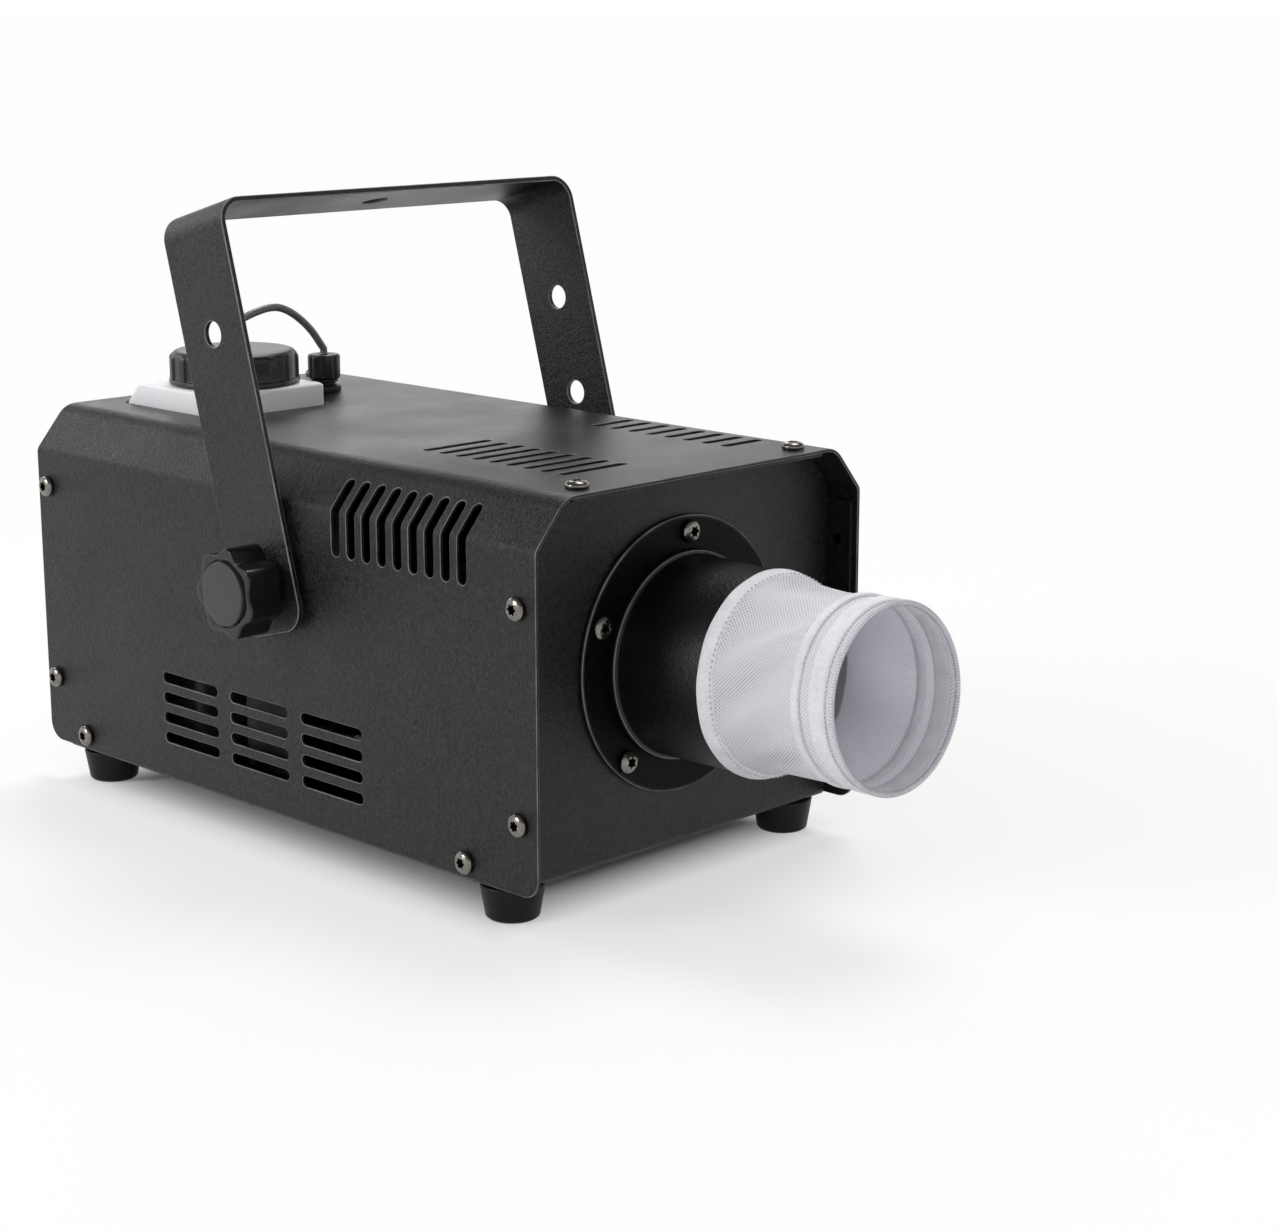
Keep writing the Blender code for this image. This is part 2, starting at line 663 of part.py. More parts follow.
def add_case_cutters(frame):
    reach = HALF_WIDTH + CUT_PAST
    hole = SCREW_RADIUS + HOLE_PLAY
    side_holes = [circle(hole, HOLE_STEPS, spot) for spot in side_screw_places()]
    top_holes = [circle(hole, HOLE_STEPS, spot) for spot in top_screw_places()]
    sides = [across_x(outline) for outline in side_holes]
    vents = [across_x(outline) for outline in low_vent_outlines() + bend_vent_outlines()]
    pivot = across_x(circle(BUSH_BARREL_RADIUS + HOLE_PLAY, 16, (PIVOT.y, PIVOT.z)))
    corners = [across_x(outline) for outline in wall_corner_outlines()]
    window = rounded_rectangle(DECK_LEFT - WINDOW_PLAY, DECK_RIGHT + WINDOW_PLAY,
                               DECK_FRONT - WINDOW_PLAY, DECK_REAR + WINDOW_PLAY,
                               DECK_CORNER + WINDOW_PLAY, ROUND_STEPS)
    gland = circle(GLAND_THREAD_RADIUS + HOLE_PLAY, 16, (GLAND_X, GLAND_Y))
    low = COVER_HEIGHT - 4 * SHEET
    high = COVER_HEIGHT + CUT_PAST
    cutters = {
        "side_screw_cutter": (prisms("side_screw_cutter", sides, -reach, reach), ALONG_X),
        "side_vent_cutter": (prisms("side_vent_cutter", vents + [pivot] + corners, -reach, reach), ALONG_X),
        "top_screw_cutter": (prisms("top_screw_cutter", top_holes, low, high), (0, 0, 0)),
        "top_vent_cutter": (prisms("top_vent_cutter", top_vent_outlines() + [window, gland], low, high),
                            (0, 0, 0)),
    }
    return {name: place(name, mesh, frame, turn=turn) for name, (mesh, turn) in cutters.items()}


def add_cover(frame, cutters):
    radii = [0, LOWER_BEND, UPPER_BEND, UPPER_BEND, LOWER_BEND, 0]
    section = bent_sheet(cover_path(), radii, SHEET)
    mesh = prisms("top_cover", [section], -HALF_LENGTH, HALF_LENGTH)
    cover = place("top_cover", mesh, frame, "black_powder_coat", turn=ALONG_MINUS_Y)
    for cutter in cutters.values():
        combine(cover, cutter, "DIFFERENCE")


def chassis_boxes(spare):
    # Side lips of the tray and the flanges folded outwards from both panels; they stand
    # out by the spare, which the trim cuts off, and start inside the sheet they join
    root = SHEET / 2
    side_rise = (FLANGE_FOOT, BEND_HEIGHT - FLANGE_TOP_SPACE)
    top_high = COVER_HEIGHT - SHEET - SLIDE_GAP
    top_half = HALF_WIDTH - CHAMFER_RUN - UPPER_BEND / 2
    ends = [
        (-HALF_LENGTH + FLANGE_SETBACK, PANEL_FRONT + root),
        (PANEL_REAR - root, HALF_LENGTH - FLANGE_SETBACK),
    ]
    lip_ends = (PANEL_FRONT + SHEET + LIP_RELIEF, PANEL_REAR - SHEET - LIP_RELIEF)
    boxes = []
    for side in (-1, 1):
        wall = tuple(sorted((side * (CHASSIS_HALF + spare), side * (CHASSIS_HALF - SHEET))))
        boxes += [(wall, end, side_rise) for end in ends]
        boxes.append((wall, lip_ends, (TRAY_BOTTOM + root, LIP_HEIGHT)))
    boxes += [((-top_half, top_half), end, (top_high - SHEET, top_high + spare)) for end in ends]
    return boxes


def board_posts():
    left = BOARD_RIGHT - BOARD_WIDTH + POST_INSET
    right = BOARD_RIGHT - POST_INSET
    front = BOARD_REAR - BOARD_LENGTH + POST_INSET
    rear = BOARD_REAR - POST_INSET
    return [(x, y) for x in (left, right) for y in (front, rear)]


def foot_places():
    x = HALF_WIDTH - FOOT_WALL_INSET
    y = HALF_LENGTH - FOOT_END_INSET
    return {"front_left": (-x, -y), "front_right": (x, -y), "rear_left": (-x, y), "rear_right": (x, y)}


def flange_screw_places():
    turn = 2 * math.pi / FLANGE_SCREW_COUNT
    angles = [FLANGE_SCREW_START + i * turn for i in range(FLANGE_SCREW_COUNT)]
    return [(FLANGE_SCREW_CIRCLE * math.cos(a), NOZZLE_HEIGHT + FLANGE_SCREW_CIRCLE * math.sin(a))
            for a in angles]


def fuse_place():
    return (REAR_PARTS_X + FUSE_OFFSET, INLET_CENTRE_HEIGHT + SWITCH_RISE)


def switch_place():
    return (REAR_PARTS_X + SWITCH_OFFSET, INLET_CENTRE_HEIGHT + SWITCH_RISE)


def centred_rectangle(centre, width, height):
    return rectangle(centre[0] - width / 2, centre[0] + width / 2,
                     centre[1] - height / 2, centre[1] + height / 2)


def panel_cutters(frame):
    hole = SCREW_RADIUS + HOLE_PLAY
    front = [circle(TUBE_RADIUS + BORE_PLAY, NOZZLE_STEPS, (0, NOZZLE_HEIGHT))]
    front += [circle(hole, HOLE_STEPS, spot) for spot in flange_screw_places()]
    inlet = centred_rectangle((REAR_PARTS_X, INLET_CENTRE_HEIGHT), INLET_WIDTH + 2 * GAP, INLET_HEIGHT + 2 * GAP)
    switch = centred_rectangle(switch_place(), SWITCH_WIDTH + 2 * GAP, SWITCH_HEIGHT + 2 * GAP)
    fuse = circle(FUSE_RADIUS + HOLE_PLAY, 20, fuse_place())
    feet = [circle(hole, HOLE_STEPS, spot) for spot in foot_places().values()]
    thick = 3 * SHEET
    front_mesh = prisms("front_panel_cutter", front, -PANEL_FRONT - thick, -PANEL_FRONT + thick)
    rear_mesh = prisms("rear_panel_cutter", [inlet, switch, fuse], -PANEL_REAR - thick, -PANEL_REAR + thick)
    foot_mesh = prisms("foot_cutter", feet, TRAY_BOTTOM - thick, TRAY_TOP + thick)
    return [
        place("front_panel_cutter", front_mesh, frame, turn=ALONG_MINUS_Y),
        place("rear_panel_cutter", rear_mesh, frame, turn=ALONG_MINUS_Y),
        place("foot_cutter", foot_mesh, frame),
    ]


def add_chassis(frame, cutters):
    # Front panel, tray and rear panel are one folded sheet, trimmed to the cover's inside
    path = [(PANEL_REAR, COVER_HEIGHT), (PANEL_REAR, TRAY_BOTTOM),
            (PANEL_FRONT, TRAY_BOTTOM), (PANEL_FRONT, COVER_HEIGHT)]
    section = across_x(bent_sheet(path, [0, TRAY_BEND, TRAY_BEND, 0], SHEET))
    spare = 0.3 * MM
    mesh = prisms("chassis_tray", [section], -CHASSIS_HALF - spare, CHASSIS_HALF + spare)
    chassis = place("chassis_tray", mesh, frame, "black_powder_coat", turn=ALONG_X)
    fit = cover_path(SHEET + SLIDE_GAP)
    fit_radii = [0, 0, UPPER_BEND - SHEET, UPPER_BEND - SHEET, 0, 0]
    fit[0] = (fit[0][0], -TRIM_REACH)
    fit[-1] = (fit[-1][0], -TRIM_REACH)
    trim_mesh = prisms("chassis_trim", [rounded_path(fit, fit_radii)], -TRIM_REACH, TRIM_REACH)
    trim = place("chassis_trim", trim_mesh, frame, turn=ALONG_MINUS_Y)
    folds = place("chassis_folds", box_mesh("chassis_folds", chassis_boxes(spare)), frame)
    posts = [circle(POST_RADIUS, 10, spot) for spot in board_posts()]
    post_mesh = prisms("chassis_posts", posts, TRAY_BOTTOM + SHEET / 2, BOARD_HEIGHT - GAP)
    combine(chassis, folds, "UNION")
    combine(chassis, trim, "INTERSECT")
    combine(chassis, place("chassis_posts", post_mesh, frame), "UNION")
    for cutter in panel_cutters(frame) + [cutters["side_screw_cutter"], cutters["top_screw_cutter"]]:
        combine(chassis, cutter, "DIFFERENCE")


def add_feet(frame):
    # Built downwards from the tray's underside, with the stud going up through it
    profile = [(0, FOOT_STUD_LENGTH), (SCREW_RADIUS, FOOT_STUD_LENGTH), (SCREW_RADIUS, -GAP),
               (FOOT_TOP_RADIUS, -GAP)]
    bottom = -GAP - FOOT_HEIGHT
    profile += [(FOOT_BASE_RADIUS + 0.1 * FOOT_ROUNDING, bottom + FOOT_ROUNDING),
                (FOOT_BASE_RADIUS - 0.3 * FOOT_ROUNDING, bottom + 0.3 * FOOT_ROUNDING),
                (FOOT_BASE_RADIUS - FOOT_ROUNDING, bottom), (0, bottom)]
    mesh = turned("foot", profile, FOOT_STEPS)
    for name, (x, y) in foot_places().items():
        place("foot_" + name, mesh, frame, "black_rubber", at=(x, y, TRAY_BOTTOM))


# Screws

def screw_mesh():
    # The head stands on z = 0 and the shank goes down; the recess has six lobes
    def ring(radius, height, waist=None, step=1):
        points = []
        for i in range(SCREW_STEPS):
            angle = 2 * math.pi * (i - i % step) / SCREW_STEPS
            reach = radius if waist is None or i % 2 == 0 else waist
            points.append((reach * math.cos(angle), reach * math.sin(angle), height))
        return points
    floor = HEAD_HEIGHT - RECESS_DEPTH
    return lofted("screw", [
        ring(SCREW_RADIUS, -SCREW_LENGTH, step=2), ring(SCREW_RADIUS, 0, step=2), ring(HEAD_RADIUS, 0),
        ring(HEAD_RADIUS, HEAD_EDGE),
        ring(RECESS_RADIUS, HEAD_HEIGHT, RECESS_WAIST), ring(RECESS_RADIUS, floor, RECESS_WAIST),
    ])


def add_screws(frame):
    mesh = screw_mesh()
    seat = HALF_WIDTH + GAP
    for side, side_name, turn in ((-1, "left", ALONG_MINUS_X), (1, "right", ALONG_X)):
        for number, (y, z) in enumerate(side_screw_places(), 1):
            place(f"{side_name}_screw_{number}", mesh, frame, "dark_nickel",
                  at=(side * seat, y, z), turn=turn)
    for number, (x, y) in enumerate(top_screw_places(), 1):
        place(f"top_screw_{number}", mesh, frame, "dark_nickel", at=(x, y, COVER_HEIGHT + GAP))
    front = FLANGE_BACK - FLANGE_THICKNESS - GAP
    for number, (x, z) in enumerate(flange_screw_places(), 1):
        place(f"flange_screw_{number}", mesh, frame, "dark_nickel", at=(x, front, z), turn=ALONG_MINUS_Y)


# Nozzle

def add_nozzle(frame):
    inner = TUBE_RADIUS + BORE_PLAY
    edge = 0.4 * MM
    ring = [(inner, 0), (FLANGE_RADIUS, 0), (FLANGE_RADIUS, FLANGE_THICKNESS - edge),
            (FLANGE_RADIUS - edge, FLANGE_THICKNESS), (inner, FLANGE_THICKNESS)]
    flange = place("nozzle_flange", turned("nozzle_flange", ring, NOZZLE_STEPS, ring=True), frame,
                   "black_powder_coat", at=(0, FLANGE_BACK, NOZZLE_HEIGHT), turn=ALONG_MINUS_Y)
    holes = [circle(SCREW_RADIUS + HOLE_PLAY, HOLE_STEPS, spot) for spot in flange_screw_places()]
    cutter_mesh = prisms("flange_cutter", holes, -FLANGE_BACK - CUT_PAST, -FLANGE_BACK + CUT_PAST)
    combine(flange, place("flange_cutter", cutter_mesh, frame, turn=ALONG_MINUS_Y), "DIFFERENCE")

    # Heights run forwards from the collar's back face
    tail = COLLAR_BACK - PANEL_FRONT - TUBE_TAIL
    mouth = COLLAR_BACK - TUBE_MOUTH
    lip = 0.5 * MM
    bore = TUBE_RADIUS - TUBE_WALL
    profile = [
        (bore, tail), (TUBE_RADIUS, tail), (TUBE_RADIUS, 0), (COLLAR_RADIUS, 0),
        (COLLAR_RADIUS, COLLAR_LENGTH - lip), (COLLAR_RADIUS - lip, COLLAR_LENGTH),
        (TUBE_RADIUS, COLLAR_LENGTH + lip), (TUBE_MOUTH_RADIUS, mouth - lip),
        (TUBE_MOUTH_RADIUS - lip, mouth), (TUBE_MOUTH_RADIUS - TUBE_WALL, mouth),
    ]
    place("nozzle_tube", turned("nozzle_tube", profile, NOZZLE_STEPS, ring=True), frame,
          "gloss_black_paint", at=(0, COLLAR_BACK, NOZZLE_HEIGHT), turn=ALONG_MINUS_Y)


def sock_stations():
    # (height from the rear hem, radius, proud, share of the folds, share of the slant)
    length = SOCK_BACK - SOCK_FRONT
    taper = (TUBE_RADIUS - TUBE_MOUTH_RADIUS) * (SOCK_OVERLAP + SOCK_SLANT) / TUBE_REACH
    hem = TUBE_MOUTH_RADIUS + taper + SOCK_PLAY
    waist = SOCK_WAIST_RADIUS
    rim = length - SOCK_RIM_WIDTH
    return [
        (0, hem, 0.6, 0, 1), (SOCK_HEM_WIDTH, hem, 1.0, 0, 1),
        (SOCK_HEM_WIDTH + SOCK_STEP, hem, 0.0, 0, 1), (SOCK_OVERLAP + SOCK_STEP, hem, 0.0, 0.1, 0),
        (0.36 * length, 0.985 * hem, 0.0, 0.8, 0), (0.48 * length, 0.95 * hem, 0.0, 1, 0),
        (0.6 * length, waist + SOCK_PLAY, 0.0, 0.8, 0), (0.68 * length, waist, 1.0, 0.35, 0),
        (0.8 * length, waist, 1.0, 0.25, 0), (0.82 * length, waist, 0.0, 0.3, 0),
        (rim - SOCK_STEP, SOCK_RIM_RADIUS, 0.0, 0.15, 0), (rim, SOCK_RIM_RADIUS, 1.0, 0.05, 0),
        (length, SOCK_RIM_RADIUS, 0.8, 0, 0),
    ]


def sock_ring(height, radius, folds, slant, length):
    # Folds are waves round the sleeve that turn a little on their way forwards
    angles = np.arange(SOCK_STEPS) * 2 * math.pi / SOCK_STEPS
    wave = np.cos(SOCK_FOLDS * angles + SOCK_FOLD_TWIST * SOCK_FOLDS * height / length)
    reach = radius + SOCK_FOLD_DEPTH * folds * (wave - 1) / 2
    level = height + SOCK_SLANT * slant * np.sin(angles)
    return [tuple(point) for point in np.stack([reach * np.cos(angles), reach * np.sin(angles), level], axis=1)]


def add_sock(frame):
    length = SOCK_BACK - SOCK_FRONT
    stations = sock_stations()
    inside = [sock_ring(h, r, f, s, length) for h, r, proud, f, s in stations]
    outside = [sock_ring(h, r + SOCK_WALL + SOCK_HEM * proud, f, s, length) for h, r, proud, f, s in stations]
    rings = outside + inside[::-1]
    bm = bmesh.new()
    loops = [[bm.verts.new(point) for point in ring] for ring in rings]
    for lower, upper in zip(loops, loops[1:] + loops[:1]):
        for i in range(SOCK_STEPS):
            j = (i + 1) % SOCK_STEPS
            bm.faces.new((lower[i], lower[j], upper[j], upper[i]))
    place("snow_sock", to_mesh(bm, "snow_sock", math.radians(50)), frame, "white_mesh",
          at=(0, SOCK_BACK, NOZZLE_HEIGHT), turn=ALONG_MINUS_Y)


def add_spray_nozzle(frame):
    # An arm from the tube's left wall to its middle, a barb for the hose and the tip
    axis_y = PANEL_FRONT - SPRAY_SETBACK
    bore = TUBE_RADIUS - TUBE_WALL
    start = -math.sqrt((bore - GAP) ** 2 - SPRAY_ARM_RADIUS ** 2)
    arm = place("spray_nozzle", turned("spray_nozzle", [
        (0, start), (SPRAY_ARM_RADIUS, start), (SPRAY_ARM_RADIUS, SPRAY_TIP_RADIUS),
        (0, SPRAY_TIP_RADIUS)], 12), frame, "brass", at=(0, axis_y, NOZZLE_HEIGHT), turn=ALONG_X)
    tip_mesh = turned("spray_tip", [
        (0, -SPRAY_ARM_RADIUS), (SPRAY_TIP_RADIUS, -SPRAY_ARM_RADIUS),
        (SPRAY_TIP_RADIUS, 0.6 * SPRAY_TIP_LENGTH), (0.45 * SPRAY_TIP_RADIUS, SPRAY_TIP_LENGTH),
        (0, SPRAY_TIP_LENGTH)], 12)
    barb_mesh = turned("spray_barb", [
        (0, 0), (HOSE_RADIUS, 0), (HOSE_RADIUS, SPRAY_BARB_LENGTH), (0, SPRAY_BARB_LENGTH)], 10)
    combine(arm, place("spray_tip", tip_mesh, frame, at=(0, axis_y, NOZZLE_HEIGHT),
                       turn=ALONG_MINUS_Y), "UNION")
    combine(arm, place("spray_barb", barb_mesh, frame, at=(-SPRAY_BARB_OFFSET, axis_y, NOZZLE_HEIGHT),
                       turn=ALONG_Y), "UNION")


# Yoke and its hardware

def add_yoke(frame):
    inner_half = HALF_WIDTH + YOKE_WALL_GAP
    outer_half = inner_half + YOKE_THICKNESS
    spare = 3 * MM
    path = [(-outer_half, -YOKE_TAIL - spare), (-outer_half, YOKE_REACH), (outer_half, YOKE_REACH),
            (outer_half, -YOKE_TAIL - spare)]
    section = bent_sheet(path, [0, YOKE_BEND, YOKE_BEND, 0], YOKE_THICKNESS)
    hinge = bpy.data.objects.new("yoke_hinge", None)
    bpy.context.scene.collection.objects.link(hinge)
    hinge.parent = frame
    hinge.location = PIVOT
    hinge.rotation_euler = (-YOKE_TILT, 0, 0)
    half = YOKE_WIDTH / 2
    yoke = place("handle_bracket", prisms("handle_bracket", [section], -half - spare, half + spare),
                 hinge, "black_powder_coat", turn=ALONG_MINUS_Y)
    above = YOKE_REACH + 3 * YOKE_CORNER
    outline = rounded_rectangle(-half, half, -YOKE_TAIL, above, YOKE_CORNER, ROUND_STEPS)
    ends_mesh = prisms("yoke_ends", [across_x(outline)], -2 * outer_half, 2 * outer_half)
    ends = place("yoke_ends", ends_mesh, hinge, turn=ALONG_X)
    combine(yoke, ends, "INTERSECT")
    far = 2 * outer_half
    pivot = across_x(circle(STUD_RADIUS + HOLE_PLAY, 16))
    upper = across_x(circle(YOKE_HOLE_RADIUS, 16, (0, YOKE_UPPER_HOLE)))
    lower = across_x(circle(YOKE_HOLE_RADIUS, 16, (0, YOKE_LOWER_HOLE)))
    both = place("yoke_hole_cutter", prisms("yoke_hole_cutter", [pivot, upper], -far, far), hinge,
                 turn=ALONG_X)
    right = place("yoke_right_cutter", prisms("yoke_right_cutter", [lower], 0, far), hinge, turn=ALONG_X)
    bar = place("yoke_bar_cutter", prisms("yoke_bar_cutter", [circle(BAR_HOLE_RADIUS, 16)],
                                          YOKE_REACH - 5 * MM, YOKE_REACH + 5 * MM), hinge)
    for cutter in (both, right, bar):
        combine(yoke, cutter, "DIFFERENCE")


def knob_ring(radius, valley, height):
    count = KNOB_LOBES * KNOB_LOBE_STEPS
    middle = (radius + valley) / 2
    swing = (radius - valley) / 2
    points = []
    for i in range(count):
        angle = 2 * math.pi * i / count
        reach = middle + swing * math.cos(KNOB_LOBES * angle)
        points.append((reach * math.cos(angle), reach * math.sin(angle), height))
    return points


def knob_mesh():
    # Heights run outwards from the washer's face; the stud goes the other way
    back = KNOB_HUB_LENGTH
    face = back + KNOB_THICKNESS
    cut = KNOB_ROUNDING
    stud = -(2 * GAP + WASHER_THICKNESS + YOKE_THICKNESS + YOKE_WALL_GAP + SHEET + STUD_REACH)
    rings = [(STUD_RADIUS, STUD_RADIUS, stud), (STUD_RADIUS, STUD_RADIUS, 0),
             (KNOB_HUB_RADIUS, KNOB_HUB_RADIUS, 0), (KNOB_HUB_RADIUS, KNOB_HUB_RADIUS, back),
             (KNOB_RADIUS - cut, KNOB_VALLEY - cut, back), (KNOB_RADIUS, KNOB_VALLEY, back + cut),
             (KNOB_RADIUS, KNOB_VALLEY, face - cut), (KNOB_RADIUS - cut, KNOB_VALLEY - cut, face),
             (KNOB_DISC_RADIUS, KNOB_DISC_RADIUS, face),
             (KNOB_DISC_RADIUS, KNOB_DISC_RADIUS, face + KNOB_DISC_HEIGHT)]
    return lofted("knob", [knob_ring(*ring) for ring in rings])


def add_pivot_hardware(frame):
    # Outwards from the wall: bush flange, yoke, washer, knob, each a gap apart
    flange = YOKE_WALL_GAP - 2 * GAP
    washer_seat = YOKE_WALL_GAP + YOKE_THICKNESS + GAP
    knob_seat = washer_seat + WASHER_THICKNESS + GAP
    bore = STUD_RADIUS + HOLE_PLAY
    bush_mesh = turned("pivot_bush", [
        (bore, -SHEET - BUSH_BARREL_LENGTH), (BUSH_BARREL_RADIUS, -SHEET - BUSH_BARREL_LENGTH),
        (BUSH_BARREL_RADIUS, GAP), (BUSH_RADIUS, GAP), (BUSH_RADIUS, GAP + flange),
        (bore, GAP + flange)], 16, ring=True)
    washer_mesh = turned("washer", [
        (bore, 0), (WASHER_RADIUS, 0), (WASHER_RADIUS, WASHER_THICKNESS), (bore, WASHER_THICKNESS)],
        16, ring=True)
    knob = knob_mesh()
    for side, name, turn in ((-1, "left", ALONG_MINUS_X), (1, "right", ALONG_X)):
        wall = side * HALF_WIDTH
        place(name + "_pivot_bush", bush_mesh, frame, "zinc_steel", at=(wall, PIVOT.y, PIVOT.z), turn=turn)
        place(name + "_washer", washer_mesh, frame, "black_plastic",
              at=(wall + side * washer_seat, PIVOT.y, PIVOT.z), turn=turn)
        place(name + "_knob", knob, frame, "black_plastic",
              at=(wall + side * knob_seat, PIVOT.y, PIVOT.z), turn=turn)


# Tank, cap, fittings and hoses

def tank_ring(x0, x1, y0, y1, radius, height):
    # Starts at the corner nearest +x +y so that it lines up with the neck's ring
    outline = rounded_rectangle(x0, x1, y0, y1, radius, TANK_CORNER_STEPS)
    start = 2 * (TANK_CORNER_STEPS + 1)
    outline = outline[start:] + outline[:start]
    return [(x, y, height) for x, y in outline]


def neck_ring(radius, height):
    count = 4 * (TANK_CORNER_STEPS + 1)
    start = math.pi / 4 - 2 * math.pi / count * TANK_CORNER_STEPS / 2
    angles = [start + 2 * math.pi * i / count for i in range(count)]
    return [(CAP_X + radius * math.cos(a), CAP_Y + radius * math.sin(a), height) for a in angles]


def add_tank(frame):
    def body(inset, height):
        return tank_ring(TANK_LEFT + inset, TANK_RIGHT - inset, TANK_FRONT + inset,
                         TANK_REAR - inset, TANK_CORNER - inset / 2, height)

    def deck(inset, height, rear_cut=0.0):
        return tank_ring(DECK_LEFT + inset, DECK_RIGHT - inset, DECK_FRONT + inset,
                         DECK_REAR - inset - rear_cut, DECK_CORNER - inset / 2, height)
    slope = 3 * MM
    chamfer_foot = DECK_TOP - DECK_CHAMFER
    neck_top = DECK_TOP + NECK_HEIGHT
    wall = TANK_WALL
    rings = [
        body(0, TANK_BOTTOM), body(0, TANK_SHOULDER - slope), deck(0, TANK_SHOULDER),
        deck(0, chamfer_foot), deck(0, DECK_TOP, DECK_CHAMFER),
        neck_ring(NECK_RADIUS, DECK_TOP), neck_ring(NECK_RADIUS, neck_top),
        neck_ring(NECK_RADIUS - wall, neck_top), neck_ring(NECK_RADIUS - wall, DECK_TOP - wall),
        deck(wall, DECK_TOP - wall, DECK_CHAMFER), deck(wall, chamfer_foot - wall / 2),
        deck(wall, TANK_SHOULDER - wall), body(wall, TANK_SHOULDER - slope - wall),
        body(wall, TANK_BOTTOM + wall),
    ]
    place("fluid_tank", lofted("fluid_tank", rings), frame, "milky_plastic")


def cap_ring(radius, rib_depth, height):
    # Four points to each rib's turn: two at its root and two on its crest
    turn = 2 * math.pi / CAP_RIB_COUNT
    half = CAP_RIB_WIDTH / 2 / CAP_RADIUS
    points = []
    for i in range(CAP_RIB_COUNT):
        for offset, depth in ((-1.25, 0), (-0.75, rib_depth), (0.75, rib_depth), (1.25, 0)):
            angle = i * turn + offset * half
            reach = radius + depth
            points.append((reach * math.cos(angle), reach * math.sin(angle), height))
    return points


def add_cap(frame):
    skirt = CAP_SKIRT_HEIGHT
    shoulder = CAP_HEIGHT - CAP_ROUNDING
    cap = place("tank_cap", lofted("tank_cap", [
        cap_ring(CAP_SKIRT_RADIUS, 0, 0), cap_ring(CAP_SKIRT_RADIUS, 0, skirt),
        cap_ring(CAP_RADIUS, CAP_RIB_DEPTH, skirt), cap_ring(CAP_RADIUS, CAP_RIB_DEPTH, shoulder),
        cap_ring(CAP_RADIUS - 0.3 * CAP_ROUNDING, 0, CAP_HEIGHT - 0.3 * CAP_ROUNDING),
        cap_ring(CAP_RADIUS - CAP_ROUNDING, 0, CAP_HEIGHT),
    ]), frame, "black_plastic", at=(CAP_X, CAP_Y, CAP_BOTTOM))
    bore = NECK_RADIUS + HOLE_PLAY
    inside = turned("cap_cutter", [
        (0, -CUT_PAST), (bore, -CUT_PAST), (bore, CAP_HEIGHT - CAP_TOP),
        (CAP_HOLE_RADIUS, CAP_HEIGHT - CAP_TOP), (CAP_HOLE_RADIUS, CAP_HEIGHT + CUT_PAST),
        (0, CAP_HEIGHT + CUT_PAST)], 28)
    combine(cap, place("cap_cutter", inside, frame, at=(CAP_X, CAP_Y, CAP_BOTTOM)), "DIFFERENCE")


def add_fittings(frame):
    # Cap fitting: heights run up from the cap's top face
    below = -CAP_TOP - 4 * MM
    flange_top = GAP + FITTING_FLANGE_HEIGHT
    place("cap_fitting", turned("cap_fitting", [
        (0, below), (FITTING_STEM_RADIUS, below), (FITTING_STEM_RADIUS, GAP),
        (FITTING_FLANGE_RADIUS, GAP), (FITTING_FLANGE_RADIUS, flange_top),
        (FITTING_RADIUS, flange_top), (FITTING_RADIUS, GAP + FITTING_HEIGHT),
        (0, GAP + FITTING_HEIGHT)], FITTING_STEPS), frame, "black_plastic", at=(CAP_X, CAP_Y, CAP_LID))
    dip_top = CAP_LID + below - GAP
    dip_bottom = TANK_BOTTOM + TANK_WALL + GAP + FILTER_HEIGHT
    place("dip_tube", turned("dip_tube", [
        (0, dip_bottom + GAP), (DIP_RADIUS, dip_bottom + GAP), (DIP_RADIUS, dip_top), (0, dip_top)], 8),
        frame, "smoky_hose", at=(CAP_X, CAP_Y, 0))
    place("pickup_filter", turned("pickup_filter", [
        (0, 0), (FILTER_RADIUS, 0), (FILTER_RADIUS, 0.8 * FILTER_HEIGHT),
        (DIP_RADIUS, FILTER_HEIGHT), (0, FILTER_HEIGHT)], 12), frame, "pale_plastic",
        at=(CAP_X, CAP_Y, dip_bottom - FILTER_HEIGHT))

    # Gland through the cover's top, and the nut that clamps the hose in it
    place("bulkhead_fitting", turned("bulkhead_fitting", [
        (0, -GLAND_TAIL), (HOSE_RADIUS + 0.7 * MM, -GLAND_TAIL), (GLAND_THREAD_RADIUS, -GLAND_TAIL / 2),
        (GLAND_THREAD_RADIUS, 0), (GLAND_FLANGE_RADIUS, 0), (GLAND_FLANGE_RADIUS, GLAND_FLANGE_HEIGHT),
        (GLAND_THREAD_RADIUS + 0.6 * MM, GLAND_FLANGE_HEIGHT),
        (GLAND_THREAD_RADIUS + 0.6 * MM, GLAND_NECK_HEIGHT), (0, GLAND_NECK_HEIGHT)],
        FITTING_STEPS), frame,
        "black_plastic", at=(GLAND_X, GLAND_Y, GLAND_BASE))
    place("compression_nut", lofted("compression_nut", [nut_ring(*ring) for ring in [
        (NUT_RADIUS, 0, 0), (NUT_RADIUS, 0.5 * MM, 0.5 * MM), (NUT_RADIUS, 0.5 * MM, 0.8 * NUT_HEIGHT),
        (0.9 * NUT_RADIUS, 0, NUT_HEIGHT), (0.6 * NUT_RADIUS, 0, NUT_HEIGHT)]]), frame,
        "black_plastic", at=(GLAND_X, GLAND_Y, NUT_BOTTOM))


def nut_ring(radius, flute, height):
    points = []
    for i in range(3 * NUT_FLUTES):
        angle = 2 * math.pi / 3 * i / NUT_FLUTES
        reach = radius - (flute if i % 3 == 0 else 0)
        points.append((reach * math.cos(angle), reach * math.sin(angle), height))
    return points


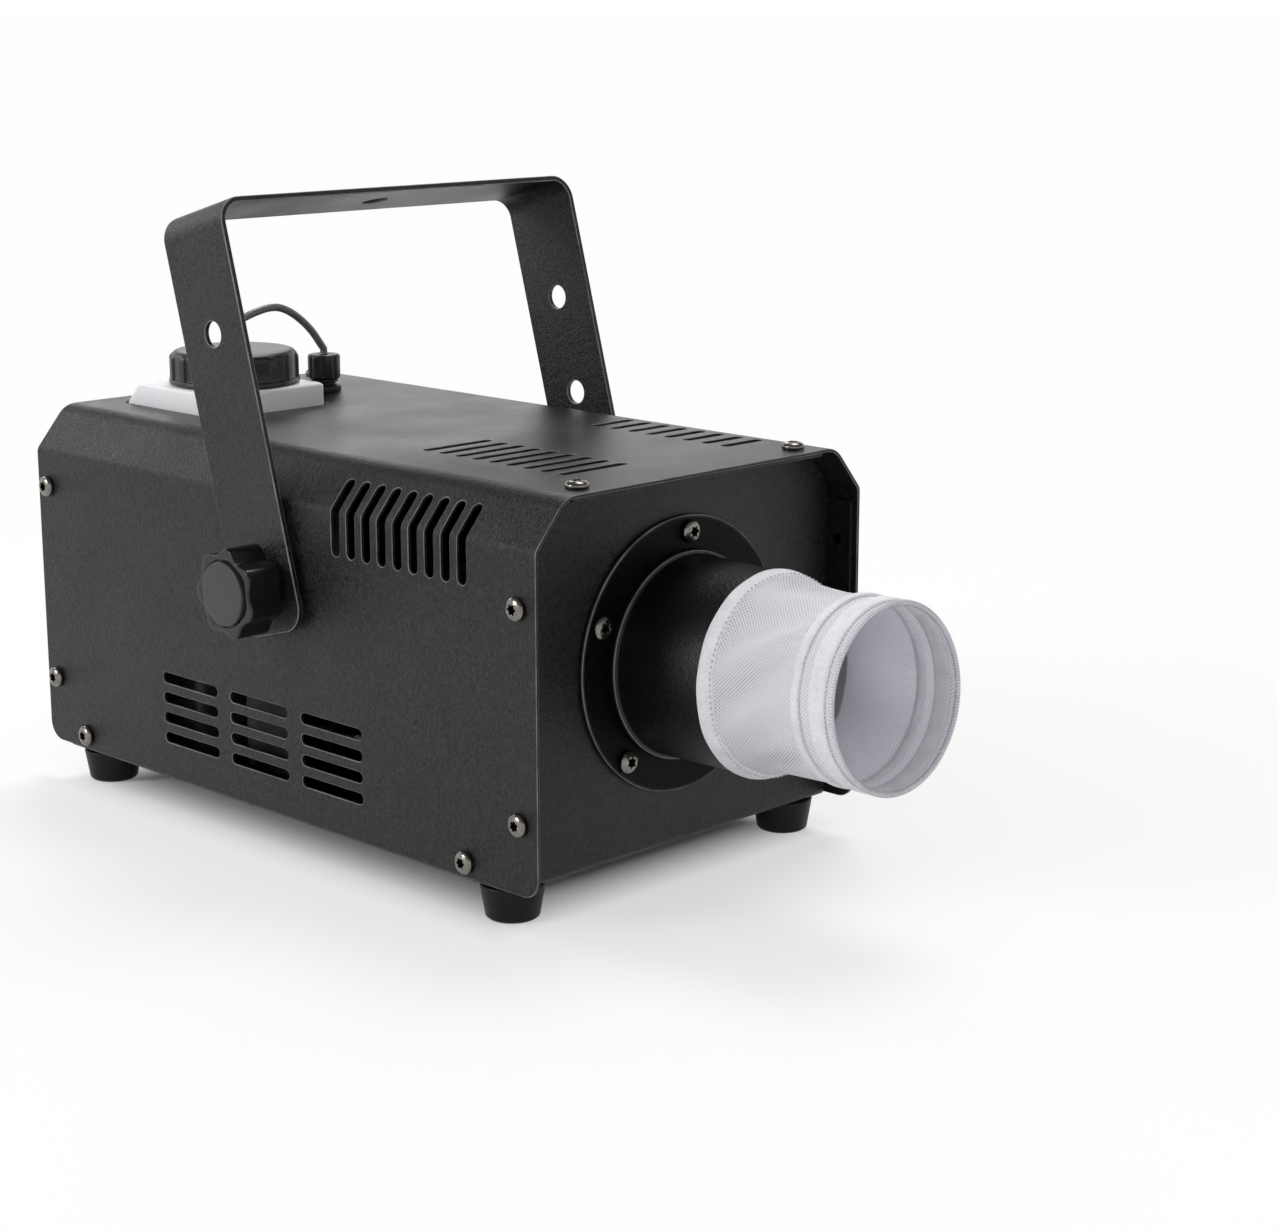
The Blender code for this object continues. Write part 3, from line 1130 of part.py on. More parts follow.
def smooth_route(points, spacing):
    # A Catmull-Rom curve through the points, read at about equal steps; the first and
    # last stretches stay straight, so that the hose leaves square to its fittings
    points = np.array([tuple(point) for point in points], float)
    fine = []
    for i in range(len(points) - 3):
        a, b, c, d = points[i:i + 4]
        share = np.linspace(0, 1, 24, endpoint=False)[:, None]
        fine.append(0.5 * (2 * b + (c - a) * share + (2 * a - 5 * b + 4 * c - d) * share ** 2
                           + (3 * b - a - 3 * c + d) * share ** 3))
    fine = np.vstack(fine + [points[-2:-1]])
    travelled = np.concatenate([[0], np.cumsum(np.linalg.norm(np.diff(fine, axis=0), axis=1))])
    wanted = np.linspace(0, travelled[-1], max(int(travelled[-1] / spacing), 4) + 1)
    middle = np.stack([np.interp(wanted, travelled, fine[:, axis]) for axis in range(3)], axis=1)
    return np.vstack([points[:1], middle, points[-1:]])


def add_hose(frame, name, points, spacing):
    route = smooth_route(points, spacing)
    curve = bpy.data.curves.new(name, "CURVE")
    curve.dimensions = "3D"
    curve.bevel_depth = HOSE_RADIUS
    curve.bevel_resolution = HOSE_SIDES
    curve.use_fill_caps = True
    spline = curve.splines.new("POLY")
    spline.points.add(len(route) - 1)
    for point, (x, y, z) in zip(spline.points, route):
        point.co = (x, y, z, 1)
    place(name, curve, frame, "smoky_hose")


def add_hoses(frame):
    # The feed hose arches from the cap's fitting to the gland's nut
    start = Vector((CAP_X, CAP_Y, FITTING_TOP + GAP))
    end = Vector((GLAND_X, GLAND_Y, NUT_TOP + GAP))
    straight = Vector((0, 0, 1.2 * HOSE_RADIUS))
    arch = [(start.x + share * (end.x - start.x), start.y + share * (end.y - start.y),
             start.z + rise * FEED_HOSE_RISE) for share, rise in FEED_HOSE_ARCH]
    add_hose(frame, "feed_hose", [start, start + straight] + arch + [end + straight, end], 3.5 * MM)

    # The suction hose drops from the gland and runs in front of the tank to the pump
    low = PUMP_AXIS_HEIGHT
    lane = TANK_FRONT - 6 * MM
    tail = GLAND_BASE - GLAND_TAIL - GAP
    barb = PUMP_REAR + PUMP_PORT_LENGTH + PUMP_BARB_LENGTH + GAP
    add_hose(frame, "suction_hose", [
        (GLAND_X, GLAND_Y, tail), (GLAND_X, GLAND_Y, tail - 20 * MM),
        (GLAND_X, GLAND_Y - 10 * MM, tail - 48 * MM), (GLAND_X, TANK_FRONT + 8 * MM, tail - 70 * MM),
        (GLAND_X - 5 * MM, lane, low + 12 * MM), (GLAND_X - 20 * MM, lane, low + 2 * MM),
        (PUMP_X + 30 * MM, lane, low), (PUMP_X + 9 * MM, lane + 1.5 * MM, low),
        (PUMP_X + 2 * MM, lane - 3 * MM, low), (PUMP_X, barb + 4 * MM, low), (PUMP_X, barb, low)], 6 * MM)

    # The delivery hose passes left of the blower into the tube's back
    nozzle_end = PANEL_FRONT - SPRAY_SETBACK + SPRAY_BARB_LENGTH + GAP
    barb_x = -SPRAY_BARB_OFFSET
    out = PUMP_FRONT - PUMP_PORT_LENGTH - PUMP_BARB_LENGTH - GAP
    add_hose(frame, "delivery_hose", [
        (PUMP_X, out, low), (PUMP_X, out - 12 * MM, low), (PUMP_X + 2 * MM, out - 45 * MM, low + 5 * MM),
        (PUMP_X + 8 * MM, nozzle_end + 24 * MM, NOZZLE_HEIGHT - 22 * MM),
        (barb_x - 4 * MM, nozzle_end + 13 * MM, NOZZLE_HEIGHT - 5 * MM),
        (barb_x, nozzle_end + 5 * MM, NOZZLE_HEIGHT), (barb_x, nozzle_end, NOZZLE_HEIGHT)], 6 * MM)


# Pump

def add_pump(frame):
    half = PUMP_WIDTH / 2
    base = TRAY_TOP + GAP
    margin = 2 * MM
    place("pump_mount", box_mesh("pump_mount", [(
        (PUMP_X - half - margin, PUMP_X + half + margin),
        (PUMP_FRONT - margin, PUMP_REAR + margin), (base, base + PUMP_MOUNT_HEIGHT))]),
        frame, "black_rubber")
    coil = prisms("pump_body", [rounded_rectangle(
        PUMP_X - half, PUMP_X + half, PUMP_BASE, PUMP_BASE + PUMP_HEIGHT, 3 * MM, 3)],
        -PUMP_REAR, -PUMP_FRONT)
    pump = place("pump_body", coil, frame, "zinc_steel", turn=ALONG_MINUS_Y)
    port = PUMP_PORT_LENGTH
    tip = port + PUMP_BARB_LENGTH
    profile = [(0, -PUMP_LENGTH / 2), (PUMP_PORT_RADIUS, -PUMP_LENGTH / 2), (PUMP_PORT_RADIUS, port),
               (HOSE_RADIUS, port), (HOSE_RADIUS, tip), (0, tip)]
    mesh = turned("pump_port", profile, 12)
    for name, face, turn in (("pump_outlet", PUMP_FRONT, ALONG_MINUS_Y), ("pump_intake", PUMP_REAR, ALONG_Y)):
        combine(pump, place(name, mesh, frame, at=(PUMP_X, face, PUMP_AXIS_HEIGHT), turn=turn), "UNION")


# Blower

def scroll_outline(growth):
    # Seen from the side: the wall grows from the tongue, round the rear, to the duct's top
    steps = 18
    points = []
    for i in range(steps + 1):
        share = i / steps
        angle = math.pi + 1.5 * math.pi * share
        radius = SCROLL_START + (SCROLL_END - SCROLL_START) * share + growth
        points.append((BLOWER_Y + radius * math.cos(angle), BLOWER_Z + radius * math.sin(angle)))
    return points


def housing_section(growth, reach):
    # The scroll closed by the duct, whose floor starts at the tongue
    scroll = scroll_outline(growth)
    top = BLOWER_Z + SCROLL_END + growth
    floor = DUCT_BOTTOM - growth
    tongue_y = scroll[0][0]
    return [(reach, floor), (tongue_y, floor)] + scroll + [(reach, top)]


def add_blower(frame):
    half = BLOWER_WIDTH / 2
    inner = half - BLOWER_WALL
    shell = prisms("blower_housing", [across_x(housing_section(BLOWER_WALL, DUCT_END))], -half, half)
    housing = place("blower_housing", shell, frame, "black_plastic", turn=ALONG_X)
    hollow = prisms("blower_hollow", [across_x(housing_section(0, DUCT_END - 5 * MM))], -inner, inner)
    combine(housing, place("blower_hollow", hollow, frame, turn=ALONG_X), "DIFFERENCE")
    for name, radius, low, high in (("blower_eye", EYE_RADIUS, -2 * half, 0),
                                    ("blower_back_hole", SHAFT_HOLE_RADIUS, 0, 2 * half)):
        cutter = prisms(name, [across_x(circle(radius, 24, (BLOWER_Y, BLOWER_Z)))], low, high)
        combine(housing, place(name, cutter, frame, turn=ALONG_X), "DIFFERENCE")
    add_wheel(frame)
    add_motor(frame, half)


def blade_outline(angle):
    # A curved blade between the wheel's inner and outer radius
    steps = 2
    inner = WHEEL_INNER_RADIUS + 0.4 * MM
    outer = WHEEL_RADIUS - 0.4 * MM
    faces = []
    for side in (-1, 1):
        face = []
        for i in range(steps + 1):
            share = i / steps
            radius = inner + (outer - inner) * share
            turn = angle + BLADE_SWEEP * share ** 2 + side * BLADE_THICKNESS / 2 / radius
            face.append((radius * math.cos(turn), radius * math.sin(turn)))
        faces.append(face)
    return faces[0] + faces[1][::-1]


def add_wheel(frame):
    # z runs along the shaft from the back plate to the inlet ring
    half = WHEEL_WIDTH / 2
    overlap = 0.4 * MM
    bore = SHAFT_RADIUS + HOLE_PLAY
    plate = [(bore, 0), (WHEEL_RADIUS, 0), (WHEEL_RADIUS, WHEEL_PLATE), (HUB_RADIUS, WHEEL_PLATE),
             (HUB_RADIUS, HUB_LENGTH), (bore, HUB_LENGTH)]
    ring = [(WHEEL_INNER_RADIUS, WHEEL_WIDTH - WHEEL_RING), (WHEEL_RADIUS, WHEEL_WIDTH - WHEEL_RING),
            (WHEEL_RADIUS, WHEEL_WIDTH), (WHEEL_INNER_RADIUS, WHEEL_WIDTH)]
    at = (half, BLOWER_Y, BLOWER_Z)
    wheel = place("blower_wheel", turned("blower_wheel", plate, WHEEL_STEPS, ring=True), frame, "black_plastic",
                  at=at, turn=ALONG_MINUS_X)
    ring_piece = place("wheel_ring", turned("wheel_ring", ring, WHEEL_STEPS, ring=True), frame, at=at,
                       turn=ALONG_MINUS_X)
    blades = [blade_outline(2 * math.pi * i / BLADE_COUNT) for i in range(BLADE_COUNT)]
    blade_mesh = prisms("wheel_blades", blades, WHEEL_PLATE - overlap, WHEEL_WIDTH - WHEEL_RING + overlap)
    combine(wheel, place("wheel_blades", blade_mesh, frame, at=at, turn=ALONG_MINUS_X), "UNION")
    combine(wheel, ring_piece, "UNION")


def add_motor(frame, housing_half):
    # z runs along the shaft from the motor's front face into the wheel
    seat = housing_half + GAP
    into = seat - WHEEL_WIDTH / 2 + HUB_LENGTH - 1 * MM
    boss = BLOWER_WALL
    place("blower_motor", turned("blower_motor", [
        (0, -MOTOR_LENGTH), (0.8 * MOTOR_RADIUS, -MOTOR_LENGTH), (MOTOR_RADIUS, -0.9 * MOTOR_LENGTH),
        (MOTOR_RADIUS, 0), (MOTOR_BOSS_RADIUS, 0), (MOTOR_BOSS_RADIUS, boss), (SHAFT_RADIUS, boss),
        (SHAFT_RADIUS, into), (0, into)], 20), frame, "zinc_steel",
        at=(seat, BLOWER_Y, BLOWER_Z), turn=ALONG_MINUS_X)


# Rear panel

def clipped_rectangle(centre, width, height, cut):
    # The socket's outline: two corners of the rectangle are cut off
    x0, x1 = centre[0] - width / 2, centre[0] + width / 2
    z0, z1 = centre[1] - height / 2, centre[1] + height / 2
    return [(x0, z0), (x1, z0), (x1, z1 - cut), (x1 - cut, z1), (x0 + cut, z1), (x0, z1 - cut)]


def add_inlet(frame):
    centre = (REAR_PARTS_X, INLET_CENTRE_HEIGHT)
    face = PANEL_REAR + GAP
    outside = face + INLET_BEZEL_THICKNESS
    body = prisms("power_inlet", [centred_rectangle(centre, INLET_WIDTH, INLET_HEIGHT)],
                  -face - 0.5 * MM, -face + INLET_DEPTH)
    inlet = place("power_inlet", body, frame, "black_plastic", turn=ALONG_MINUS_Y)
    bezel = prisms("inlet_bezel", [rounded_rectangle(
        centre[0] - INLET_WIDTH / 2 - INLET_BEZEL, centre[0] + INLET_WIDTH / 2 + INLET_BEZEL,
        centre[1] - INLET_HEIGHT / 2 - INLET_BEZEL, centre[1] + INLET_HEIGHT / 2 + INLET_BEZEL,
        2.5 * MM, 3)], -outside, -face)
    socket = prisms("inlet_socket", [clipped_rectangle(
        centre, INLET_WIDTH - 2 * INLET_WALL, INLET_HEIGHT - 2 * INLET_WALL, SOCKET_CORNER)],
        -outside - CUT_PAST, -face + INLET_DEPTH - INLET_FLOOR)
    pins = [((centre[0] + dx), centre[1] + dz) for dx, dz in (
        (0, PIN_STAGGER), (-PIN_SPACING, -PIN_STAGGER), (PIN_SPACING, -PIN_STAGGER))]
    pin_mesh = prisms("inlet_pins", [centred_rectangle(pin, PIN_WIDTH, PIN_HEIGHT) for pin in pins],
                      -face + PIN_SETBACK, -face + INLET_DEPTH - INLET_FLOOR / 2)
    combine(inlet, place("inlet_bezel", bezel, frame, turn=ALONG_MINUS_Y), "UNION")
    combine(inlet, place("inlet_socket", socket, frame, turn=ALONG_MINUS_Y), "DIFFERENCE")
    combine(inlet, place("inlet_pins", pin_mesh, frame, turn=ALONG_MINUS_Y), "UNION")


def add_switch(frame):
    centre = switch_place()
    face = PANEL_REAR + GAP
    outside = face + SWITCH_BEZEL
    body = prisms("switch_housing", [centred_rectangle(centre, SWITCH_WIDTH, SWITCH_HEIGHT)],
                  -face - 0.5 * MM, -face + SWITCH_DEPTH)
    housing = place("switch_housing", body, frame, "black_plastic", turn=ALONG_MINUS_Y)
    bezel = prisms("switch_bezel", [centred_rectangle(
        centre, SWITCH_WIDTH + 2 * SWITCH_BEZEL, SWITCH_HEIGHT + 2 * SWITCH_BEZEL)], -outside, -face)
    pocket_width = SWITCH_WIDTH - 2 * SWITCH_WALL
    pocket_height = SWITCH_HEIGHT - 2 * SWITCH_WALL
    pocket = prisms("switch_pocket", [centred_rectangle(centre, pocket_width, pocket_height)],
                    -outside - CUT_PAST, -face + ROCKER_POCKET)
    combine(housing, place("switch_bezel", bezel, frame, turn=ALONG_MINUS_Y), "UNION")
    combine(housing, place("switch_pocket", pocket, frame, turn=ALONG_MINUS_Y), "DIFFERENCE")
    # Rocker, side outline about its own pivot: y outwards, z along its length
    end = pocket_height / 2 - ROCKER_PLAY
    crown = 2.2 * MM
    outline = [(-ROCKER_DEPTH, -0.7 * end), (-ROCKER_DEPTH, 0.7 * end), (-0.3 * ROCKER_DEPTH, end),
               (crown, end), (0.5 * crown, 0), (crown, -end), (-0.3 * ROCKER_DEPTH, -end)]
    half = pocket_width / 2 - GAP
    rocker_mesh = prisms("switch_rocker", [across_x(outline)], -half, half)
    hinge = bpy.data.objects.new("rocker_hinge", None)
    bpy.context.scene.collection.objects.link(hinge)
    hinge.parent = frame
    hinge.location = (centre[0], face, centre[1])
    hinge.rotation_euler = (-ROCKER_TILT, 0, 0)
    place("switch_rocker", rocker_mesh, hinge, "black_plastic", turn=ALONG_X)


def add_fuse(frame):
    x, z = fuse_place()
    face = PANEL_REAR + GAP
    flange = FUSE_FLANGE_THICKNESS
    place("fuse_holder", turned("fuse_holder", [
        (0, -FUSE_DEPTH), (FUSE_RADIUS, -FUSE_DEPTH), (FUSE_RADIUS, 0), (FUSE_FLANGE_RADIUS, 0),
        (FUSE_FLANGE_RADIUS, flange), (FUSE_BORE_RADIUS, flange), (FUSE_BORE_RADIUS, -FUSE_DEPTH / 2),
        (0, -FUSE_DEPTH / 2)], FITTING_STEPS), frame, "black_plastic", at=(x, face, z), turn=ALONG_Y)
    stem = FUSE_BORE_RADIUS - GAP
    cap = place("fuse_cap", turned("fuse_cap", [
        (0, -FUSE_DEPTH / 2 + 1 * MM), (stem, -FUSE_DEPTH / 2 + 1 * MM), (stem, 0),
        (FUSE_CAP_RADIUS, 0), (FUSE_CAP_RADIUS, 0.8 * FUSE_CAP_HEIGHT),
        (0.88 * FUSE_CAP_RADIUS, FUSE_CAP_HEIGHT), (0, FUSE_CAP_HEIGHT)], FITTING_STEPS), frame, "black_plastic",
        at=(x, face + flange + GAP, z), turn=ALONG_Y)
    slot = box_mesh("fuse_slot", [(
        (-FUSE_SLOT_LENGTH / 2, FUSE_SLOT_LENGTH / 2), (-FUSE_SLOT_WIDTH / 2, FUSE_SLOT_WIDTH / 2),
        (FUSE_CAP_HEIGHT - FUSE_SLOT_DEPTH, FUSE_CAP_HEIGHT + CUT_PAST))])
    combine(cap, place("fuse_slot", slot, frame, at=(x, face + flange + GAP, z), turn=ALONG_Y), "DIFFERENCE")


def add_board(frame):
    left = BOARD_RIGHT - BOARD_WIDTH
    front = BOARD_REAR - BOARD_LENGTH
    top = BOARD_HEIGHT + BOARD_THICKNESS
    sunk = top - BOARD_THICKNESS / 2
    board = place("control_board", box_mesh("control_board", [
        ((left, BOARD_RIGHT), (front, BOARD_REAR), (BOARD_HEIGHT, top))]), frame, "green_board")

    def block(x, y, size):
        return ((x, x + size[0]), (y, y + size[1]), (sunk, top + size[2]))
    near = left + BOARD_MARGIN
    foremost = front + BOARD_MARGIN
    parts = box_mesh("board_parts", [
        block(near, BOARD_REAR - 2 * BOARD_MARGIN - TRANSFORMER_SIZE[1], TRANSFORMER_SIZE),
        block(BOARD_RIGHT - BOARD_MARGIN - RELAY_SIZE[0], foremost, RELAY_SIZE),
        block(near, foremost, TERMINAL_SIZE),
    ])
    can_spot = (BOARD_RIGHT - 2 * CAN_RADIUS, BOARD_REAR - BOARD_MARGIN - 2 * CAN_RADIUS)
    can = prisms("board_can", [circle(CAN_RADIUS, 12, can_spot)], sunk, top + CAN_HEIGHT)
    combine(board, place("board_parts", parts, frame), "UNION")
    combine(board, place("board_can", can, frame), "UNION")


def build():
    clear_scene()
    frame = add_frame()
    cutters = add_case_cutters(frame)
    add_cover(frame, cutters)
    add_chassis(frame, cutters)
    add_feet(frame)
    add_screws(frame)
    add_nozzle(frame)
    add_sock(frame)
    add_spray_nozzle(frame)
    add_yoke(frame)
    add_pivot_hardware(frame)
    add_tank(frame)
    add_cap(frame)
    add_fittings(frame)
    add_hoses(frame)
    add_pump(frame)
    add_blower(frame)
    add_inlet(frame)
    add_switch(frame)
    add_fuse(frame)
    add_board(frame)


build()
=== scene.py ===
import math

import bmesh
import bpy
import numpy as np
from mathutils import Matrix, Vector, geometry


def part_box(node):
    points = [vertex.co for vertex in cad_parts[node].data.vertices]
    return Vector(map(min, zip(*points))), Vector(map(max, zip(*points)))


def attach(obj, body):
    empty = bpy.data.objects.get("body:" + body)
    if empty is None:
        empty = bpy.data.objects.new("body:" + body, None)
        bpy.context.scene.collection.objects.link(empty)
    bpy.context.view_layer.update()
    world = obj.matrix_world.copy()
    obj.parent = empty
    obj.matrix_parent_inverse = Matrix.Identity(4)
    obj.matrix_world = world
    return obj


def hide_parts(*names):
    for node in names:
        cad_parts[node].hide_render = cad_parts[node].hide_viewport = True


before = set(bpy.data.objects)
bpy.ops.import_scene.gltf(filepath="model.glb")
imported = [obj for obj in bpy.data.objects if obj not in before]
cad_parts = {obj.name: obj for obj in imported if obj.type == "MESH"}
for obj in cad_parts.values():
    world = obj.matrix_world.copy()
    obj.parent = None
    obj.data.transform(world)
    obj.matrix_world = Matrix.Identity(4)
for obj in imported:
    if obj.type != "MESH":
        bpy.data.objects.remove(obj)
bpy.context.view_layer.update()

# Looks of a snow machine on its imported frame. Lengths are in millimetres from the middle of the case at the
# height of the cover's lower edge, and makePiece turns them into metres on the frame.

mm = 0.001
coverLow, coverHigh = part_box("top_cover")
caseOrigin = np.array([0, (coverLow.y + coverHigh.y) / 2, coverLow.z])


# Surfaces and pieces

def gridFaces(rows, columns, closedRows=False, closedColumns=True):
    # Quads between neighbours of a grid of points; a closed direction runs back to its start
    row = np.arange(rows if closedRows else rows - 1)
    column = np.arange(columns if closedColumns else columns - 1)
    a, b = np.meshgrid(row, column, indexing="ij")
    over, beside = (a + 1) % rows, (b + 1) % columns
    quads = [a * columns + b, a * columns + beside, over * columns + beside, over * columns + b]
    return np.stack(quads, axis=-1).reshape(-1, 4)


def newObject(name, data):
    made = bpy.data.objects.new(name, data)
    bpy.context.scene.collection.objects.link(made)
    return made


def makePiece(name, points, faceSets, body, material, slot, stands=(), sharp=35, uv=None, normals=None, marks=None):
    # A mesh from whole arrays: doubles are merged, faces turned outwards, edges over the sharp angle kept.
    # A mark is a number for each point that a material reads by name
    corners = np.concatenate([faces.ravel() for faces in faceSets]).astype(np.int32)
    counts = np.concatenate([np.full(len(faces), faces.shape[1]) for faces in faceSets])
    mesh = bpy.data.meshes.new(name)
    mesh.vertices.add(len(points))
    mesh.vertices.foreach_set("co", (np.asarray(points) * mm + caseOrigin).astype(np.float32).ravel())
    mesh.loops.add(len(corners))
    mesh.loops.foreach_set("vertex_index", corners)
    mesh.polygons.add(len(counts))
    mesh.polygons.foreach_set("loop_start", np.concatenate([[0], np.cumsum(counts)[:-1]]).astype(np.int32))
    mesh.update(calc_edges=True)
    if uv is not None:
        mesh.uv_layers.new(name="UVMap").uv.foreach_set("vector", uv.astype(np.float32).ravel())
    for mark, values in (marks or {}).items():
        mesh.attributes.new(mark, "FLOAT", "POINT").data.foreach_set("value", np.ravel(values).astype(np.float32))
    if normals is not None:
        mesh.attributes.new("bend", "FLOAT_VECTOR", "POINT").data.foreach_set(
            "vector", normals.astype(np.float32).ravel())
    mesh.validate()
    bm = bmesh.new()
    bm.from_mesh(mesh)
    bmesh.ops.remove_doubles(bm, verts=bm.verts, dist=2e-6)
    bmesh.ops.recalc_face_normals(bm, faces=bm.faces)
    bm.to_mesh(mesh)
    bm.free()
    mesh.shade_smooth()
    if normals is None:
        mesh.set_sharp_from_angle(angle=math.radians(sharp))
    else:
        kept = np.zeros(3 * len(mesh.vertices), np.float32)
        mesh.attributes["bend"].data.foreach_get("vector", kept)
        mesh.normals_split_custom_set_from_vertices(kept.reshape(-1, 3))
        mesh.attributes.remove(mesh.attributes["bend"])
    mesh.materials.append(material)
    piece = newObject(name, mesh)
    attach(piece, body)
    if stands:
        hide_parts(*stands)
    return piece


def turns(way):
    # Rows that carry a shape's own x, y and z to the case's: its z is the way it points
    return np.array({
        "up": ((1, 0, 0), (0, 1, 0), (0, 0, 1)), "front": ((1, 0, 0), (0, 0, 1), (0, -1, 0)),
        "right": ((0, 1, 0), (0, 0, 1), (1, 0, 0)), "left": ((0, -1, 0), (0, 0, 1), (-1, 0, 0)),
    }[way], float)


def placed(points, centre, way="up"):
    return np.asarray(points, float).reshape(-1, 3) @ turns(way) + np.array(centre, float)


def roundedLine(corners, steps=5):
    # Corners are (a, b, rounding); each rounding is an arc that touches both legs of its corner
    spots = np.array([corner[:2] for corner in corners], float)
    line = [spots[:1]]
    for i in range(1, len(corners) - 1):
        radius = corners[i][2]
        if radius == 0:
            line.append(spots[i:i + 1])
            continue
        back, ahead = spots[i - 1] - spots[i], spots[i + 1] - spots[i]
        back, ahead = back / np.linalg.norm(back), ahead / np.linalg.norm(ahead)
        half = math.acos(np.clip(back @ ahead, -1, 1)) / 2
        centre = spots[i] + (back + ahead) / np.linalg.norm(back + ahead) * radius / math.sin(half)
        first = spots[i] + back * radius / math.tan(half) - centre
        last = spots[i] + ahead * radius / math.tan(half) - centre
        start = math.atan2(first[1], first[0])
        sweep = math.remainder(math.atan2(last[1], last[0]) - start, 2 * math.pi)
        angle = start + sweep * np.linspace(0, 1, steps + 1)
        line.append(centre + radius * np.stack([np.cos(angle), np.sin(angle)], axis=1))
    return np.vstack(line + [spots[-1:]])


def angles(count):
    # Equal steps round a whole turn
    return np.arange(count) * 2 * math.pi / count


def ringGrid(radii, heights, angle):
    # Rings of points round z: each row of radii is one number or one for each angle
    radii = np.array(radii)
    return np.stack([radii * np.cos(angle), radii * np.sin(angle), np.array(heights)[:, None] + 0 * angle], axis=-1)


def reliefGrid(rows, relief, angle):
    # Rows are (radius, height, share of the relief)
    return ringGrid([radius + share * relief for radius, height, share in rows], [row[1] for row in rows], angle)


def turned(line, steps):
    # Each (radius, height) of the line carried round z
    return ringGrid(line[:, :1], line[:, 1], angles(steps))


# Reach of the edge mark about each listed corner, where the paint is pale: wear and a painted highlight
wearAndHighlightReach = 0.25


def addTurned(name, corners, steps, centre, way, body, material, slot, stands=(), ring=False, sharp=35, wearAndHighlight=()):
    # A ring's line ends where it starts. Corners listed for wear and a painted highlight, each (radius, height), get
    # a high edge mark
    line = roundedLine(corners)[:-1] if ring else roundedLine(corners)
    edge = np.zeros(len(line))
    for spot in wearAndHighlight:
        edge = np.maximum(edge, np.exp(-(np.linalg.norm(line - spot, axis=1) / wearAndHighlightReach) ** 2))
    return makePiece(name, placed(turned(line, steps), centre, way), [gridFaces(len(line), steps, closedRows=ring)],
                     body, material, slot, stands, sharp, marks={"edge": np.repeat(edge, steps)})


def tube(path, radius, sides):
    # A circle carried along a path: two side vectors at each point stay square to the path
    ahead = np.gradient(path, axis=0)
    ahead /= np.linalg.norm(ahead, axis=1, keepdims=True)
    first = np.cross(ahead, [0.31, 0.52, 0.79])
    first /= np.linalg.norm(first, axis=1, keepdims=True)
    second = np.cross(ahead, first)
    angle = angles(sides)
    out = first[:, None] * np.cos(angle)[:, None] + second[:, None] * np.sin(angle)[:, None]
    return path[:, None] + radius * out


# Materials

def addNode(tree, kind, inputs=None, **settings):
    node = tree.nodes.new("ShaderNode" + kind)
    for key, value in settings.items():
        setattr(node, key, value)
    for key, value in (inputs or {}).items():
        if isinstance(value, bpy.types.NodeSocket):
            tree.links.new(value, node.inputs[key])
        else:
            node.inputs[key].default_value = value
    return node


shaderInputs = {"colour": "Base Color", "rough": "Roughness", "metal": "Metallic", "gloss": "Specular IOR Level",
                "sheen": "Sheen Weight", "through": "Transmission Weight", "bend": "IOR", "normal": "Normal",
                "skin": "Subsurface Weight", "skinReach": "Subsurface Radius", "skinScale": "Subsurface Scale"}


def newMaterial(name, **constants):
    material = bpy.data.materials.new(name)
    material.use_nodes = True
    tree = material.node_tree
    shader = tree.nodes["Principled BSDF"]
    for key, value in constants.items():
        shader.inputs[shaderInputs[key]].default_value = value
    return material, tree, shader, addNode(tree, "TexCoord").outputs["Object"]


def wire(tree, shader, **made):
    for key, value in made.items():
        tree.links.new(value, shader.inputs[shaderInputs[key]])


def calc(tree, operation, *values):
    return addNode(tree, "Math", dict(enumerate(values)), operation=operation).outputs[0]


def blend(tree, share, first, second, kind="RGBA"):
    return addNode(tree, "Mix", {"Factor": share, "A": first, "B": second}, data_type=kind).outputs["Result"]


def blendShaders(tree, share, first, second):
    return addNode(tree, "MixShader", {0: share, 1: first, 2: second}).outputs["Shader"]


def mark(tree, name):
    return addNode(tree, "Attribute", attribute_name=name).outputs["Fac"]


def spread(tree, value, first, last, low=0.3, high=0.7):
    # Carries a value's range low..high, where noise mostly keeps, to first..last
    return addNode(tree, "MapRange", {"Value": value, "From Min": low, "From Max": high,
                                      "To Min": first, "To Max": last}).outputs["Result"]


def tones(tree, value, first, last, low=0.3, high=0.7):
    # The same for two greys or colours
    ramp = addNode(tree, "ValToRGB", {"Fac": value})
    for element, place, colour in zip(ramp.color_ramp.elements, (low, high), (first, last)):
        element.position = place
        element.color = (*colour, 1) if isinstance(colour, tuple) else (colour, colour, colour, 1)
    return ramp.outputs["Color"]


def noise(tree, where, scale, detail=3, rough=0.5, twist=0):
    return addNode(tree, "TexNoise", {"Vector": where, "Scale": scale, "Detail": detail, "Roughness": rough,
                                      "Distortion": twist}).outputs["Fac"]


def raised(tree, shader, height, distance, strength):
    bump = addNode(tree, "Bump", {"Height": height, "Distance": distance, "Strength": strength})
    wire(tree, shader, normal=bump.outputs["Normal"])


def scaled(tone, share):
    return tuple(share * part for part in tone)


# The pale edge colour stands for wear and is a painted highlight along edges
coat = {"dark": 0.001, "light": 0.024, "grain": 1900, "grainShare": 0.55, "wrinkle": 760, "depth": 0.0003,
        "wearAndHighlight": (0.3, 0.3, 0.3, 1)}


def wornAndHighlit(tree, where, colour):
    # Paint is thin and pale where the edge mark is high, in patches: wear, and a painted highlight along the edges
    patches = spread(tree, noise(tree, where, 90), 0.45, 1, 0.35, 0.65)
    return blend(tree, calc(tree, "MULTIPLY", mark(tree, "edge"), patches), colour, coat["wearAndHighlight"])


